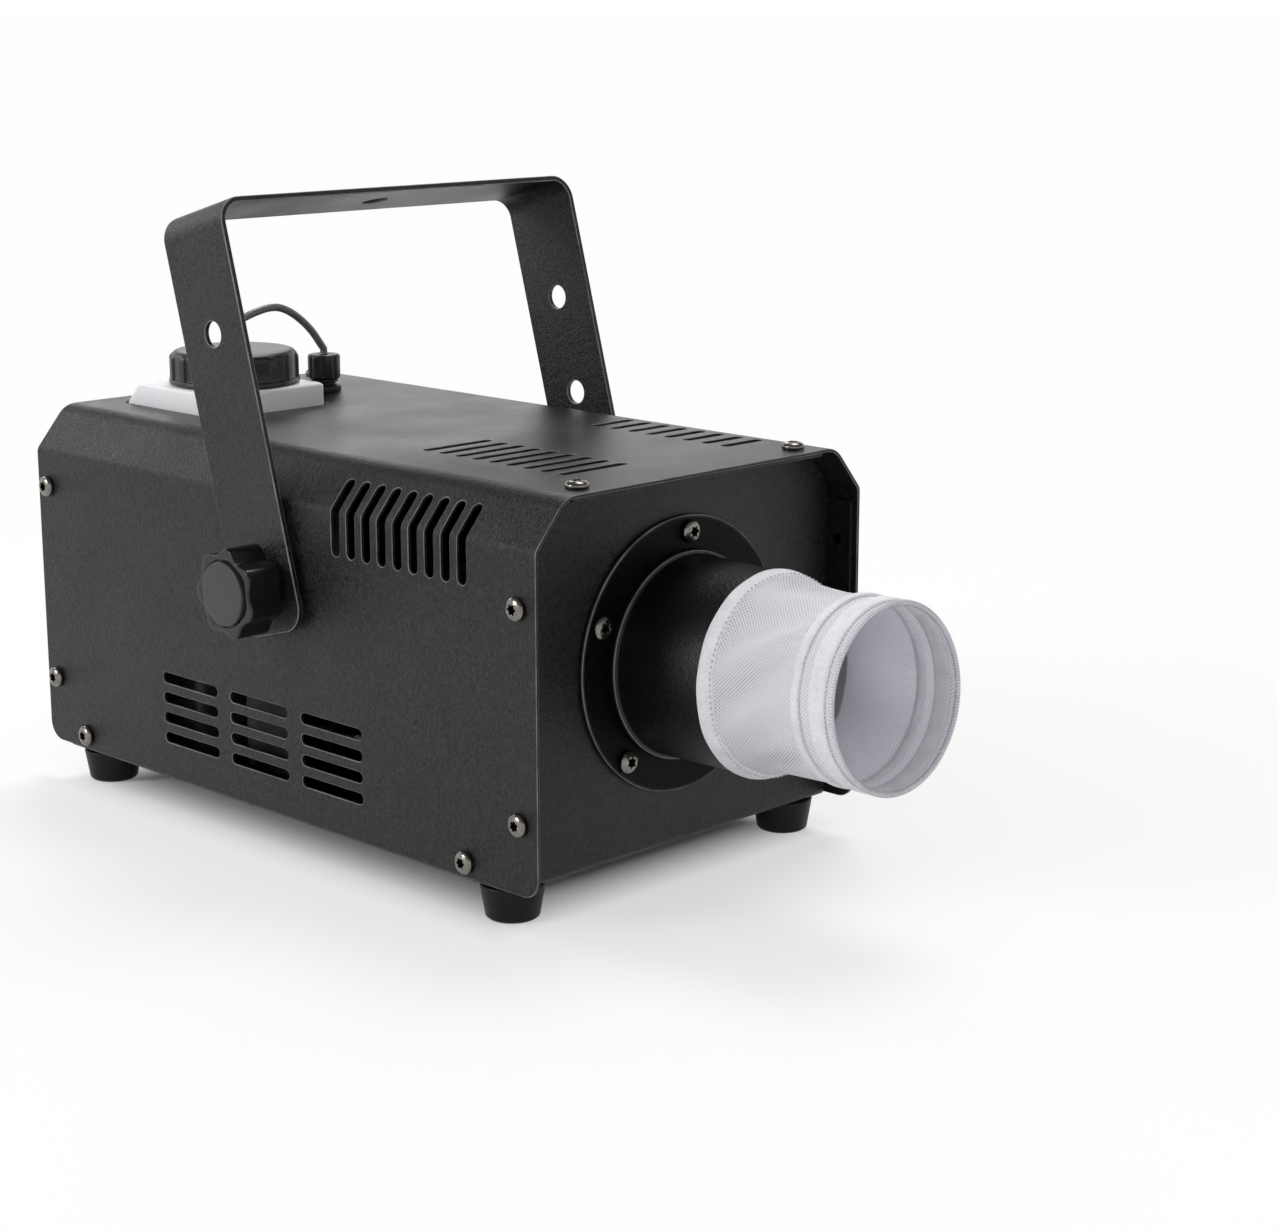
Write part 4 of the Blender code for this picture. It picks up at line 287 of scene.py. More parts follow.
def makeCoat(name, tone=1.0, rough=0.33, depth=1.0, gloss=0.24):
    # Powder coat: a fine grain over worm-like wrinkles, mottled in tone and gloss, and paler on cut edges as wear
    # and a painted highlight
    material, tree, shader, where = newMaterial(name, gloss=gloss)
    grain = noise(tree, where, coat["grain"], 2, 0.6, 0.5)
    wrinkle = noise(tree, where, coat["wrinkle"], 3, 0.55, 1.1)
    height = calc(tree, "ADD", calc(tree, "MULTIPLY", grain, coat["grainShare"]), wrinkle)
    colour = tones(tree, spread(tree, height, 0, 1, 0.6, 0.95), coat["dark"] * tone, coat["light"] * tone, 0, 1)
    wire(tree, shader, colour=wornAndHighlit(tree, where, colour),
         rough=spread(tree, noise(tree, where, 28, 2), rough - 0.05, rough + 0.06))
    raised(tree, shader, height, coat["depth"] * depth, 0.8)
    return material


def makeGlossPaint():
    # Gloss paint with a fine leathery peel, pale where the edge mark is high: wear and a painted highlight
    material, tree, shader, where = newMaterial("glossPaint", gloss=0.42)
    cloud = noise(tree, where, 60)
    wire(tree, shader, colour=wornAndHighlit(tree, where, tones(tree, cloud, 0.002, 0.005, high=0.75)),
         rough=spread(tree, cloud, 0.4, 0.45))
    raised(tree, shader, noise(tree, where, 1000, 2, 0.5, 0.8), 0.0002, 0.9)
    return material


def makePlastic(name, low, high, rough, grain=900, depth=0.00002, tint=(1, 1, 1), gloss=0.4):
    # Moulded plastic or rubber: fine texture in the mould and a soft change of gloss
    material, tree, shader, where = newMaterial(name, gloss=gloss)
    cloud = noise(tree, where, 45)
    wire(tree, shader, colour=tones(tree, cloud, scaled(tint, low), scaled(tint, high)),
         rough=spread(tree, cloud, rough - 0.04, rough + 0.05))
    raised(tree, shader, noise(tree, where, grain, 2, 0.6), depth, 0.6)
    return material


def makeMetal(name, dark, light, rough, stretch, scale):
    # Plate or turned metal: stretched noise gives its lay, a broad one its tarnish
    material, tree, shader, where = newMaterial(name, metal=1.0)
    lay = addNode(tree, "Mapping", {"Vector": where, "Scale": stretch}).outputs["Vector"]
    lines = noise(tree, lay, scale, 3, 0.6)
    wire(tree, shader, colour=tones(tree, noise(tree, where, 150), dark, light),
         rough=spread(tree, lines, rough - 0.06, rough + 0.08))
    raised(tree, shader, lines, 0.00001, 0.5)
    return material


def makeNickel():
    # Dark nickel plate: warm grey, mottled by its tumbling, with painted shade down the recess, where it is black
    # and rough
    material, tree, shader, where = newMaterial("darkNickel", metal=1.0)
    plate = tones(tree, noise(tree, where, 400), (0.16, 0.148, 0.135), (0.25, 0.235, 0.215))
    # The recess mark paints the recess black: painted shade
    recessShade = mark(tree, "recessShade")
    rough = spread(tree, noise(tree, where, 2200, 2), 0.16, 0.28)
    wire(tree, shader, colour=blend(tree, recessShade, plate, (0.01, 0.01, 0.01, 1)),
         rough=calc(tree, "MAXIMUM", rough, recessShade))
    return material


def makeMilky():
    # Milky moulding: light soaks in a little, with faint flow marks; below the deck it is painted near-black, a
    # painted shade for the inside seen through the vents
    material, tree, shader, where = newMaterial("milkyPlastic", skin=0.2, skinReach=(0.004, 0.004, 0.0042),
                                                skinScale=1.0)
    cloud = noise(tree, where, 35)
    height = addNode(tree, "SeparateXYZ", {"Vector": where}).outputs["Z"]
    pale = tones(tree, cloud, (0.82, 0.83, 0.86), (0.87, 0.88, 0.9))
    # Below the deck's height the colour is painted near-black: painted shade
    wire(tree, shader, rough=spread(tree, cloud, 0.34, 0.42),
         colour=blend(tree, spread(tree, height, 0, 1, 0.13, 0.139), (0.05, 0.052, 0.055, 1), pale))
    raised(tree, shader, noise(tree, where, 300, 2), 0.00003, 0.5)
    return material


def makeHose():
    # Smoky tube: a grey skin that lets a little light through
    material, tree, shader, where = newMaterial("hosePlastic", through=0.1, bend=1.4)
    cloud = noise(tree, where, 220, 2)
    wire(tree, shader, colour=tones(tree, cloud, 0.15, 0.19), rough=spread(tree, cloud, 0.2, 0.28))
    return material


net = {"pitch": 0.00135, "row": 0.0013, "hole": 0.42, "brim": 0.35, "clear": 0.7, "wander": 0.0016, "stretch": 0.25,
       "tone": (0.88, 0.88, 0.925)}


def makeNet():
    # Knitted net on the sleeve's own map: holes lie in staggered rows, where the product of two waves is high,
    # and open where the cloth is pulled. A broad noise bends the rows
    material, tree, shader, place = newMaterial("netCloth", rough=0.85, sheen=0.15)
    uv = addNode(tree, "UVMap", uv_map="UVMap").outputs["UV"]
    parts = addNode(tree, "SeparateXYZ", {"Vector": uv}).outputs
    waves = []
    for side, pitch, scale in (("X", net["pitch"], 26), ("Y", net["row"], 30)):
        shift = spread(tree, noise(tree, place, scale, 1), -net["wander"], net["wander"])
        phase = calc(tree, "MULTIPLY", calc(tree, "ADD", parts[side], shift), 2 * math.pi / pitch)
        waves.append(calc(tree, "COSINE", phase))
    pull = calc(tree, "MULTIPLY", mark(tree, "pull"), net["stretch"])
    lattice = calc(tree, "ADD", calc(tree, "MULTIPLY", *waves), pull)
    hole = spread(tree, lattice, 0, 1, net["hole"], net["hole"] + net["brim"])
    # Cloth left in the holes is coloured darker: painted shade of the sleeve's inside
    wire(tree, shader, colour=tones(tree, hole, net["tone"], scaled(net["tone"], 0.7), 0, 1))
    raised(tree, shader, lattice, 0.00012, -0.5)
    through = addNode(tree, "BsdfTranslucent", {"Color": (*net["tone"], 1)}).outputs["BSDF"]
    cloth = blendShaders(tree, 0.35, shader.outputs["BSDF"], through)
    gap = addNode(tree, "BsdfTransparent").outputs["BSDF"]
    whole = blendShaders(tree, spread(tree, hole, 1, 1 - net["clear"], 0, 1), gap, cloth)
    tree.links.new(whole, tree.nodes["Material Output"].inputs["Surface"])
    return material


def makeCloth(name, tone, rib):
    # Doubled net and sewn bands: nearly closed, with its knit as a fine relief
    material, tree, shader, where = newMaterial(name, rough=0.9, sheen=0.2)
    knit = noise(tree, where, rib, 2, 0.6)
    height = calc(tree, "ADD", knit, noise(tree, where, 160))
    wire(tree, shader, colour=tones(tree, spread(tree, height, 0, 1, 0.7, 1.3), scaled(tone, 0.8), tone, 0, 1))
    raised(tree, shader, knit, 0.00012, 0.6)
    return material


materials = {
    "case": makeCoat("powderCoat"),
    "strap": makeCoat("strapCoat", 1.1, 0.34, 1.2, 0.25),
    "panel": makeCoat("panelCoat", 0.8, 0.4, 0.8, 0.3),
    "flange": makeCoat("flangeCoat", 0.25, 0.45, 0.5, 0.07),
    "glossPaint": makeGlossPaint(),
    "screw": makeNickel(),
    "rubber": makePlastic("footRubber", 0.004, 0.007, 0.45, 1200, 0.00003, gloss=0.2),
    "knob": makePlastic("knobPlastic", 0.006, 0.01, 0.22, 700),
    "knobFace": makePlastic("knobFacePlastic", 0.032, 0.038, 0.4, 1400, 0.00003, (1.0, 0.965, 0.93)),
    "cap": makePlastic("capPlastic", 0.009, 0.014, 0.34, 1100, 0.00003, (1.0, 0.98, 0.96)),
    "matte": makePlastic("mattePlastic", 0.008, 0.013, 0.4, 1000, 0.00003),
    "milky": makeMilky(),
    "hose": makeHose(),
    "zinc": makeMetal("zincPlate", 0.5, 0.62, 0.34, (1, 1, 6), 260),
    # The pump and blower motor are coloured near-black: painted shade inside the case, seen through the vents
    "motor": makeMetal("nearBlackShadeSteel", 0.035, 0.06, 0.4, (1, 1, 6), 260),
    "brass": makeMetal("turnedBrass", (0.62, 0.44, 0.2), (0.72, 0.54, 0.27), 0.28, (1, 8, 1), 300),
    "board": makePlastic("boardLacquer", 0.9, 1.1, 0.42, 400, 0.00003, (0.03, 0.16, 0.07)),
    "filter": makePlastic("porousPlastic", 0.6, 0.72, 0.7, 900, 0.0001, (1.0, 1.0, 0.94)),
    "net": makeNet(),
    "band": makeCloth("sewnBand", (0.82, 0.82, 0.86), 1200),
    "thread": makeCloth("sewingThread", (0.6, 0.6, 0.66), 2600),
}
print("materials made", len(materials))


# Folded sheets: cut flat at (u, v), then folded along u

def foldLine(start, heading, legs):
    # Straight legs and arcs end to end; a leg is its length and its turn
    lengths = np.array([leg[0] for leg in legs], float)
    turnBy = np.array([leg[1] for leg in legs], float)
    line = {"starts": np.concatenate([[0], np.cumsum(lengths)[:-1]]), "length": lengths.sum(),
            "curves": turnBy / lengths, "headings": heading + np.concatenate([[0], np.cumsum(turnBy)[:-1]])}
    spots = [np.array(start, float)]
    for length, turn, toward in zip(lengths, turnBy, line["headings"]):
        reach = length if turn == 0 else 2 * length / turn * math.sin(turn / 2)
        middle = toward + turn / 2
        spots.append(spots[-1] + reach * np.array([math.cos(middle), math.sin(middle)]))
    line["spots"] = np.array(spots[:-1])
    return line


def onLine(line, u):
    # Chord from the leg's start: 2/k sin(ks/2) long, at the heading halfway; the heading itself is h + ks
    leg = np.clip(np.searchsorted(line["starts"], u, side="right") - 1, 0, len(line["starts"]) - 1)
    s, k = u - line["starts"][leg], line["curves"][leg]
    half = k * s / 2
    reach = s * np.sinc(half / math.pi)
    middle = line["headings"][leg] + half
    spot = line["spots"][leg] + np.stack([reach * np.cos(middle), reach * np.sin(middle)], axis=-1)
    return spot, line["headings"][leg] + k * s


def folded(line, uv, depth, slope=0, void=None):
    # Flat points at a depth under the outer face; slope turns the normal from the face to the void's side
    spot, heading = onLine(line, uv[:, 0])
    out = np.stack([-np.sin(heading), 0 * heading, np.cos(heading)], axis=-1)
    points = np.stack([spot[:, 0], uv[:, 1], spot[:, 1]], axis=-1) - out * depth
    if void is None:
        return points, out * (1 - 2 * (depth > 0))
    onward = np.stack([np.cos(heading), 0 * heading, np.sin(heading)], axis=-1)
    side = onward * void[:, :1] + np.array([0, 1, 0]) * void[:, 1:]
    return points, out * math.cos(slope) + side * math.sin(slope)


def arcRing(centres, radius, steps, first=0.0, hole=True, cuts=()):
    # Arcs about centres, joined by straight sides that get a point at each cut; void points off the sheet
    count = len(centres)
    parts, ways = [], []
    for i, centre in enumerate(centres):
        angle = first + (i + np.linspace(0, 1, steps + 1)) * 2 * math.pi / count
        angle = angle[:-1] if count == 1 else angle
        way = np.stack([np.cos(angle), np.sin(angle)], axis=1)
        parts.append(np.array(centre, float) + radius * way)
        ways.append(way)
        if count > 1:
            end = parts[-1][-1]
            goal = np.array(centres[(i + 1) % count], float) + radius * way[-1]
            gone = goal - end
            if abs(gone[0]) > 1e-6:
                shares = sorted((cut - end[0]) / gone[0] for cut in cuts)
                inside = [share for share in shares if 1e-6 < share < 1 - 1e-6]
                if inside:
                    added = end + np.outer(inside, gone)
                    added[:, 0] = [min(cuts, key=lambda cut: abs(cut - u)) for u in added[:, 0]]
                    parts.append(added)
                    ways.append(np.repeat(way[-1:], len(inside), axis=0))
    ring, way = np.vstack(parts), np.vstack(ways)
    return {"points": ring, "void": -way if hole else way}


def slotRing(centre, length, width, steps=9, upright=True, cuts=()):
    half = (length - width) / 2
    offset = np.array([half, 0]) if upright else np.array([0, half])
    centre = np.array(centre, float)
    return arcRing([centre + offset, centre - offset], width / 2, steps, -math.pi / 2 if upright else 0.0,
                   cuts=cuts)


def boxRing(u0, u1, v0, v1, radius, steps=7, hole=True, cuts=()):
    centres = [(u1 - radius, v1 - radius), (u0 + radius, v1 - radius),
               (u0 + radius, v0 + radius), (u1 - radius, v0 + radius)]
    return arcRing(centres, radius, steps, 0.0, hole, cuts)


def insideRing(spots, ring):
    # Even-odd count of ring edges that a ray along u crosses
    x, y = spots[:, :1], spots[:, 1:]
    ax, ay = ring[:, 0], ring[:, 1]
    bx, by = np.roll(ax, -1), np.roll(ay, -1)
    rise = np.where(by == ay, 1e-12, by - ay)
    crossing = ((ay > y) != (by > y)) & (x < (bx - ax) * (y - ay) / rise + ax)
    return crossing.sum(axis=1) % 2 == 1


def sheetMetal(line, outline, holes, thick, rim, bends, steps=4):
    # Both faces are triangulated flat between rings set back by the rim; each ring then gets its rounded
    # edge: a point goes in by rim(1 - sin t) and down by rim(1 - cos t)
    rings = [outline] + holes
    flat = [ring["points"] - rim * ring["void"] for ring in rings]
    spots = np.vstack(flat)
    edges, start = [], 0
    for ring in flat:
        index = start + np.arange(len(ring))
        edges += list(zip(index.tolist(), np.roll(index, -1).tolist()))
        start += len(ring)
    for bend in bends:
        ends = np.flatnonzero(np.abs(flat[0][:, 0] - bend) < 1e-9)
        edges.append((int(ends[0]), int(ends[-1])))
    found = geometry.delaunay_2d_cdt([Vector(spot) for spot in spots], edges, [], 0, 1e-7, False)
    flatSpots = np.array([tuple(spot) for spot in found[0]])
    triangles = np.array([tuple(face) for face in found[2]])
    middles = flatSpots[triangles].mean(axis=1)
    kept = ~np.any([insideRing(middles, ring) for ring in flat[1:]], axis=0)
    triangles = triangles[kept]
    upper, upperOut = folded(line, flatSpots, 0.0)
    lower, lowerOut = folded(line, flatSpots, thick)
    points, normals = [upper, lower], [upperOut, lowerOut]
    faceSets = [triangles, triangles[:, ::-1] + len(upper)]
    edge = [np.zeros(2 * len(upper))]
    slopes = np.linspace(0, math.pi / 2, steps + 1)
    rows = [(rim * (1 - math.sin(t)), rim * (1 - math.cos(t)), t) for t in slopes]
    rows += [(rim * (1 - math.sin(t)), thick - rim * (1 - math.cos(t)), math.pi - t) for t in slopes[::-1]]
    base = 2 * len(upper)
    quads = []
    for ring in rings:
        made = [folded(line, ring["points"] - back * ring["void"], depth, slope, ring["void"])
                for back, depth, slope in rows]
        points += [row[0] for row in made]
        normals += [row[1] for row in made]
        # The edge mark peaks halfway round each rounded edge; there the paint is paler, wear and a painted highlight
        edge += [np.full(len(ring["points"]), abs(math.sin(2 * slope))) for back, depth, slope in rows]
        quads.append(base + gridFaces(len(rows), len(ring["points"])))
        base += len(rows) * len(ring["points"])
    return np.vstack(points), np.vstack(normals), faceSets + [np.vstack(quads)], {"edge": np.concatenate(edge)}


def bendCuts(line, every):
    # Fold lines at both ends of each arc and at equal turns inside it
    cuts = []
    ends = np.append(line["starts"][1:], line["length"])
    for begin, end, curve in zip(line["starts"], ends, line["curves"]):
        if curve != 0:
            count = max(2, round(abs(curve) * (end - begin) / every))
            cuts += np.linspace(begin, end, count + 1).tolist()
    return cuts


foldStep = math.radians(6.5)


# Cover

cover = {
    "width": 157, "length": 277, "height": 130, "sheet": 1.2, "rim": 0.3, "chamferRun": 13.4, "chamferRise": 15.8,
    "lowerBend": 4, "upperBend": 10, "corner": 7,
    "lowVents": {"columns": 3, "rows": 4, "length": 33, "width": 4, "pitch": 40.5, "rowPitch": 7.6,
                 "first": 103.2, "firstRow": 15.3},
    "bendVents": {"count": 9, "width": 4.4, "pitch": 7.95, "first": 34.4, "below": 15.7, "above": 9.8},
    "topVents": ((9, 8.4, 31, -23.5), (8, 9.1, 20, 49.5)), "topVentWidth": 4, "topVentFirst": 30,
    "window": (-46.9, 6.4, 65.4, 127.0), "windowCorner": 3.4, "gland": (26, 93.55, 5.2), "pivot": (83.5, -6, 6.4),
}


def coverLine():
    halfWidth = cover["width"] / 2
    slope = math.atan2(cover["chamferRise"], cover["chamferRun"])
    firstTurn, secondTurn = math.pi / 2 - slope, slope
    lower, upper = cover["lowerBend"], cover["upperBend"]
    firstRun, secondRun = lower * math.tan(firstTurn / 2), upper * math.tan(secondTurn / 2)
    wall = cover["height"] - cover["chamferRise"] - firstRun
    chamfer = math.hypot(cover["chamferRun"], cover["chamferRise"]) - firstRun - secondRun
    top = 2 * (halfWidth - cover["chamferRun"] - secondRun)
    side = [(wall, 0), (lower * firstTurn, -firstTurn), (chamfer, 0), (upper * secondTurn, -secondTurn)]
    return foldLine((-halfWidth, 0), math.pi / 2, side + [(top, 0)] + side[::-1]), firstRun


def addCover():
    # Rings are set out on the left wall and mirrored to the right one; top rings lie about the middle
    line, firstRun = coverLine()
    whole, front = line["length"], -cover["length"] / 2
    cuts = bendCuts(line, foldStep)
    outline = boxRing(0, whole, front, -front, cover["corner"], 7, hole=False, cuts=cuts)
    low, bend = cover["lowVents"], cover["bendVents"]
    wallSlots = []
    for column in range(low["columns"]):
        for row in range(low["rows"]):
            spot = (low["firstRow"] + row * low["rowPitch"], front + low["first"] + column * low["pitch"])
            wallSlots.append((spot, low["length"], low["width"], False))
    bottom = cover["height"] - cover["chamferRise"] - bend["below"]
    slope = math.atan2(cover["chamferRise"], cover["chamferRun"])
    head = line["starts"][2] + bend["above"] / math.sin(slope) - firstRun
    for i in range(bend["count"]):
        spot = ((bottom + head) / 2, front + bend["first"] + i * bend["pitch"])
        wallSlots.append((spot, head - bottom, bend["width"], True))
    holes = [slotRing((place, v), length, width, 9, upright, cuts)
             for (u, v), length, width, upright in wallSlots for place in (u, whole - u)]
    u, v, radius = cover["pivot"]
    holes += [arcRing([(place, v)], radius, 32) for place in (u, whole - u)]
    for count, pitch, length, offset in cover["topVents"]:
        holes += [slotRing((whole / 2 + offset, front + cover["topVentFirst"] + i * pitch), length,
                           cover["topVentWidth"]) for i in range(count)]
    x0, x1, y0, y1 = cover["window"]
    x, y, radius = cover["gland"]
    holes += [boxRing(whole / 2 + x0, whole / 2 + x1, y0, y1, cover["windowCorner"], 6),
              arcRing([(whole / 2 + x, y)], radius, 32)]
    points, normals, faceSets, marks = sheetMetal(line, outline, holes, cover["sheet"], cover["rim"], cuts)
    return makePiece("cover", points, faceSets, "case", materials["case"], "powder_coat", ["top_cover"],
                     normals=normals, marks=marks)


addCover()
print("cover folded")


# Yoke

yoke = {"inner": 81.1, "thick": 2, "reach": 132.5, "tail": 17, "bend": 9, "width": 35, "corner": 9, "rim": 0.45,
        "tilt": math.radians(15.5), "pivot": (0, -6, 83.5), "pivotHole": 4.4, "upperHole": 88.5, "lowerHole": 51,
        "holeRadius": 4.5, "barHole": 5}


def addYoke():
    # A flat strap with round ends, folded twice, then leant back about the pivot
    outer = yoke["inner"] + yoke["thick"]
    tail, radius, half = yoke["tail"], yoke["holeRadius"], yoke["width"] / 2
    leg = tail + yoke["reach"] - yoke["bend"]
    arc = (yoke["bend"] * math.pi / 2, -math.pi / 2)
    bar = 2 * (outer - yoke["bend"])
    line = foldLine((-outer, -tail), math.pi / 2, [(leg, 0), arc, (bar, 0), arc, (leg, 0)])
    cuts = bendCuts(line, foldStep)
    whole = line["length"]
    outline = boxRing(0, whole, -half, half, yoke["corner"], 9, hole=False, cuts=cuts)
    spots = [(tail, yoke["pivotHole"]), (whole - tail, yoke["pivotHole"]), (tail + yoke["upperHole"], radius),
             (whole - tail - yoke["upperHole"], radius), (whole - tail - yoke["lowerHole"], radius),
             (whole / 2, yoke["barHole"])]
    holes = [arcRing([(place, 0)], size, 40) for place, size in spots]
    points, normals, faceSets, marks = sheetMetal(line, outline, holes, yoke["thick"], yoke["rim"], cuts)
    cosine, sine = math.cos(yoke["tilt"]), math.sin(yoke["tilt"])
    lean = np.array([[1, 0, 0], [0, cosine, -sine], [0, sine, cosine]])
    return makePiece("yoke", points @ lean + np.array(yoke["pivot"]), faceSets, "handle", materials["strap"],
                     "powder_coat", ["handle_bracket"], normals=normals @ lean, marks=marks)


addYoke()
print("yoke folded")


# Screws, one grid of rings: six-lobed inside the recess, round outside it

# The recess's painted shade gives a share of black to each of the first rows
screw = {"recess": 1.62, "lobe": 0.27, "floor": 0.7, "head": 4, "edge": 0.75, "height": 2.4, "power": 2.6,
         "shank": 2, "length": 5.5, "shown": 1.5, "columns": 60, "recessShade": (1, 1, 1, 0.85, 0.25),
         "dome": (2.25, 2.6, 2.95, 3.25, 3.5, 3.7, 3.85, 3.95, 3.99)}


def screwGrid():
    # Recess radius is recess + lobe cos 6a; the dome falls as the root of 1 - share ** power
    angle = angles(screw["columns"])
    star = screw["recess"] + screw["lobe"] * np.cos(6 * angle)
    floor, shank, tip = screw["floor"], screw["shank"], -screw["shown"]

    def dome(radius):
        share = np.clip(radius / screw["head"], 0, 1)
        return float(screw["edge"] + (screw["height"] - screw["edge"]) * (1 - share ** screw["power"]) ** 0.5)
    brim = dome(screw["recess"])
    rows = [(0 * angle, floor), (0.95 * star, floor), (star, floor + 0.08), (star, brim - 0.16),
            (star + 0.05, brim - 0.05), (star + 0.16, brim)]
    plain = [(radius, dome(radius)) for radius in screw["dome"]]
    plain += [(4.0, 0.2), (3.9, 0.04), (3.7, 0), (shank, 0), (shank, 0.4 + tip), (1.6, tip), (0, tip)]
    radii, heights = zip(*rows, *((radius + 0 * angle, height) for radius, height in plain))
    # Painted shade down the recess: the first rows get their share of black
    recessShade = np.zeros((len(radii), len(angle)))
    recessShade[:len(screw["recessShade"])] = np.array(screw["recessShade"])[:, None]
    return ringGrid(radii, heights, angle), recessShade


# The way a screw's head points, the axis of that way, and its sign
screwWays = {"left": ("left", 0, -1), "right": ("right", 0, 1), "top": ("up", 2, 1), "flange": ("front", 1, -1)}


def addScrews():
    # Each screw's box gives its place: its seat is a shank's length inside the box. Each is turned its own way
    grid, recessShade = screwGrid()
    faces = gridFaces(*grid.shape[:2])
    for number, name in enumerate(sorted(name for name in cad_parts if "_screw_" in name)):
        low, high = ((np.array(corner) - caseOrigin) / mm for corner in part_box(name))
        centre = (low + high) / 2
        way, axis, sign = screwWays[name.split("_")[0]]
        centre[axis] = (low if sign > 0 else high)[axis] + sign * screw["length"]
        turn = 0.7 * number
        spin = np.array([[math.cos(turn), math.sin(turn), 0], [-math.sin(turn), math.cos(turn), 0], [0, 0, 1]])
        # Each head carries its recess's painted shade as a mark
        makePiece(name + "_head", placed(grid.reshape(-1, 3) @ spin, centre, way), [faces], "case",
                  materials["screw"], "dark_nickel", [name], sharp=45, marks={"recessShade": recessShade})


addScrews()
print("screws set")


# Nozzle

nozzle = {"height": 66, "panel": -125.5, "gap": 0.3, "flangeRadius": 47.5, "flangeThick": 1.5, "hole": 35.0,
          "tube": 34.5, "mouthRadius": 33.8, "wall": 1.6, "collar": 35.8, "collarLength": 2.6, "mouth": -171,
          "short": 3, "tail": 8}


def addNozzle():
    # Two rings turned about the blowing axis; the tube's heights run forward from the back of its collar
    flangeBack = nozzle["panel"] - nozzle["gap"]
    collarBack = flangeBack - nozzle["flangeThick"] - nozzle["gap"]
    thick, hole, edge = nozzle["flangeThick"], nozzle["hole"], nozzle["flangeRadius"]
    profile = [(hole, 0, 0), (edge - 0.01, 0, 0), (edge, 0.01, 0), (edge, thick, 0.45), (edge - 1.2, thick, 0),
               (hole, thick, 0.2), (hole, 0, 0)]
    # The flange's outer rim is marked pale: wear and a painted highlight
    addTurned("flange", profile, 144, (0, flangeBack, nozzle["height"]), "front", "case", materials["flange"],
              "powder_coat", ["nozzle_flange"], ring=True, wearAndHighlight=[(edge - 0.15, thick - 0.15)])
    outer, collar, lip, end = nozzle["tube"], nozzle["collar"], nozzle["collarLength"], nozzle["mouthRadius"]
    mouth = collarBack - nozzle["mouth"] - nozzle["short"]
    tail = collarBack - nozzle["panel"] - nozzle["tail"]
    bore = outer - nozzle["wall"]
    profile = [(bore, tail, 0), (outer, tail, 0.1), (outer, 0, 0), (collar, 0, 0.2), (collar, lip - 1, 0),
               (collar, lip, 0.7), (outer + 0.1, lip + 0.35, 0.5), (outer - 0.05, lip + 3, 6), (end, mouth, 0.5),
               (end - nozzle["wall"], mouth, 0.5), (bore, tail, 0)]
    # The collar's rim is marked pale: wear and a painted highlight
    addTurned("nozzleTube", profile, 180, (0, collarBack, nozzle["height"]), "front", "case",
              materials["glossPaint"], "gloss_paint", ["nozzle_tube"], ring=True, sharp=50,
              wearAndHighlight=[(collar - 0.2, lip - 0.2)])


addNozzle()
print("nozzle turned")


# Feet

foot = {"height": 12.2, "top": 11, "base": 9, "stud": 2, "places": (67, 114), "tray": -1}


def addFeet():
    # A tapered block with soft edges, hung under the tray on its stud
    drop = -0.3 - foot["height"]
    corners = [(0, 3.9, 0), (foot["stud"], 3.9, 0.3), (foot["stud"], -0.3, 0), (foot["top"], -0.3, 0.9),
               (foot["base"] + 0.1, drop + 0.8, 1.0), (foot["base"] - 0.9, drop, 0.6), (6.2, drop, 0.3),
               (5.8, drop + 1.5, 0.3), (2.6, drop + 1.5, 0), (0, drop + 1.5, 0)]
    for name, x, y in (("front_left", -1, -1), ("front_right", 1, -1), ("rear_left", -1, 1), ("rear_right", 1, 1)):
        addTurned("rubber_" + name, corners, 72, (x * foot["places"][0], y * foot["places"][1], foot["tray"]), "up",
                  "case", materials["rubber"], "rubber", ["foot_" + name])


addFeet()
print("feet set")


# Knobs

knob = {"lobes": 7, "radius": 16, "valley": 13.6, "power": 1.1, "phase": 0.35, "columns": 44, "thick": 13.6,
        "round": 0.7, "hub": 10, "hubLength": 1.4, "disc": 11.2, "discHeight": 1.1, "seat": 84.7, "stud": 4,
        "studLength": 19.4}


def knobGrid():
    # Lobes: radius less (radius - valley) times the half wave (1 - cos na) / 2 to a power. Rows are the lobes'
    # share, the height and the reach past the lobes or from the axis
    angle = angles(knob["lobes"] * knob["columns"])
    wave = ((1 - np.cos(knob["lobes"] * (angle + knob["phase"]))) / 2) ** knob["power"]
    lobed = knob["radius"] - (knob["radius"] - knob["valley"]) * wave
    back, disc, r = knob["hubLength"], knob["disc"], knob["round"]
    face = back + knob["thick"]
    bend = np.linspace(0, math.pi / 2, 6)
    rows = [(0, 0, knob["hub"]), (0, back, knob["hub"])]
    rows += [(1, back + 0.7 * (1 - math.cos(t)), 0.7 * (math.sin(t) - 1)) for t in bend]
    rows += [(1, face - r * (1 - math.sin(t)), r * (math.cos(t) - 1)) for t in bend]
    rows += [(0.9, face, -2.2), (0, face, disc + 0.75), (0, face - 0.1, disc + 0.6), (0, face - 0.7, disc + 0.5),
             (0, face - 0.75, disc + 0.05)]
    radii = [(lobed + reach) * share + (1 - share) * (disc + 1.5 if share else reach)
             for share, height, reach in rows]
    return ringGrid(radii, [row[1] for row in rows], angle)


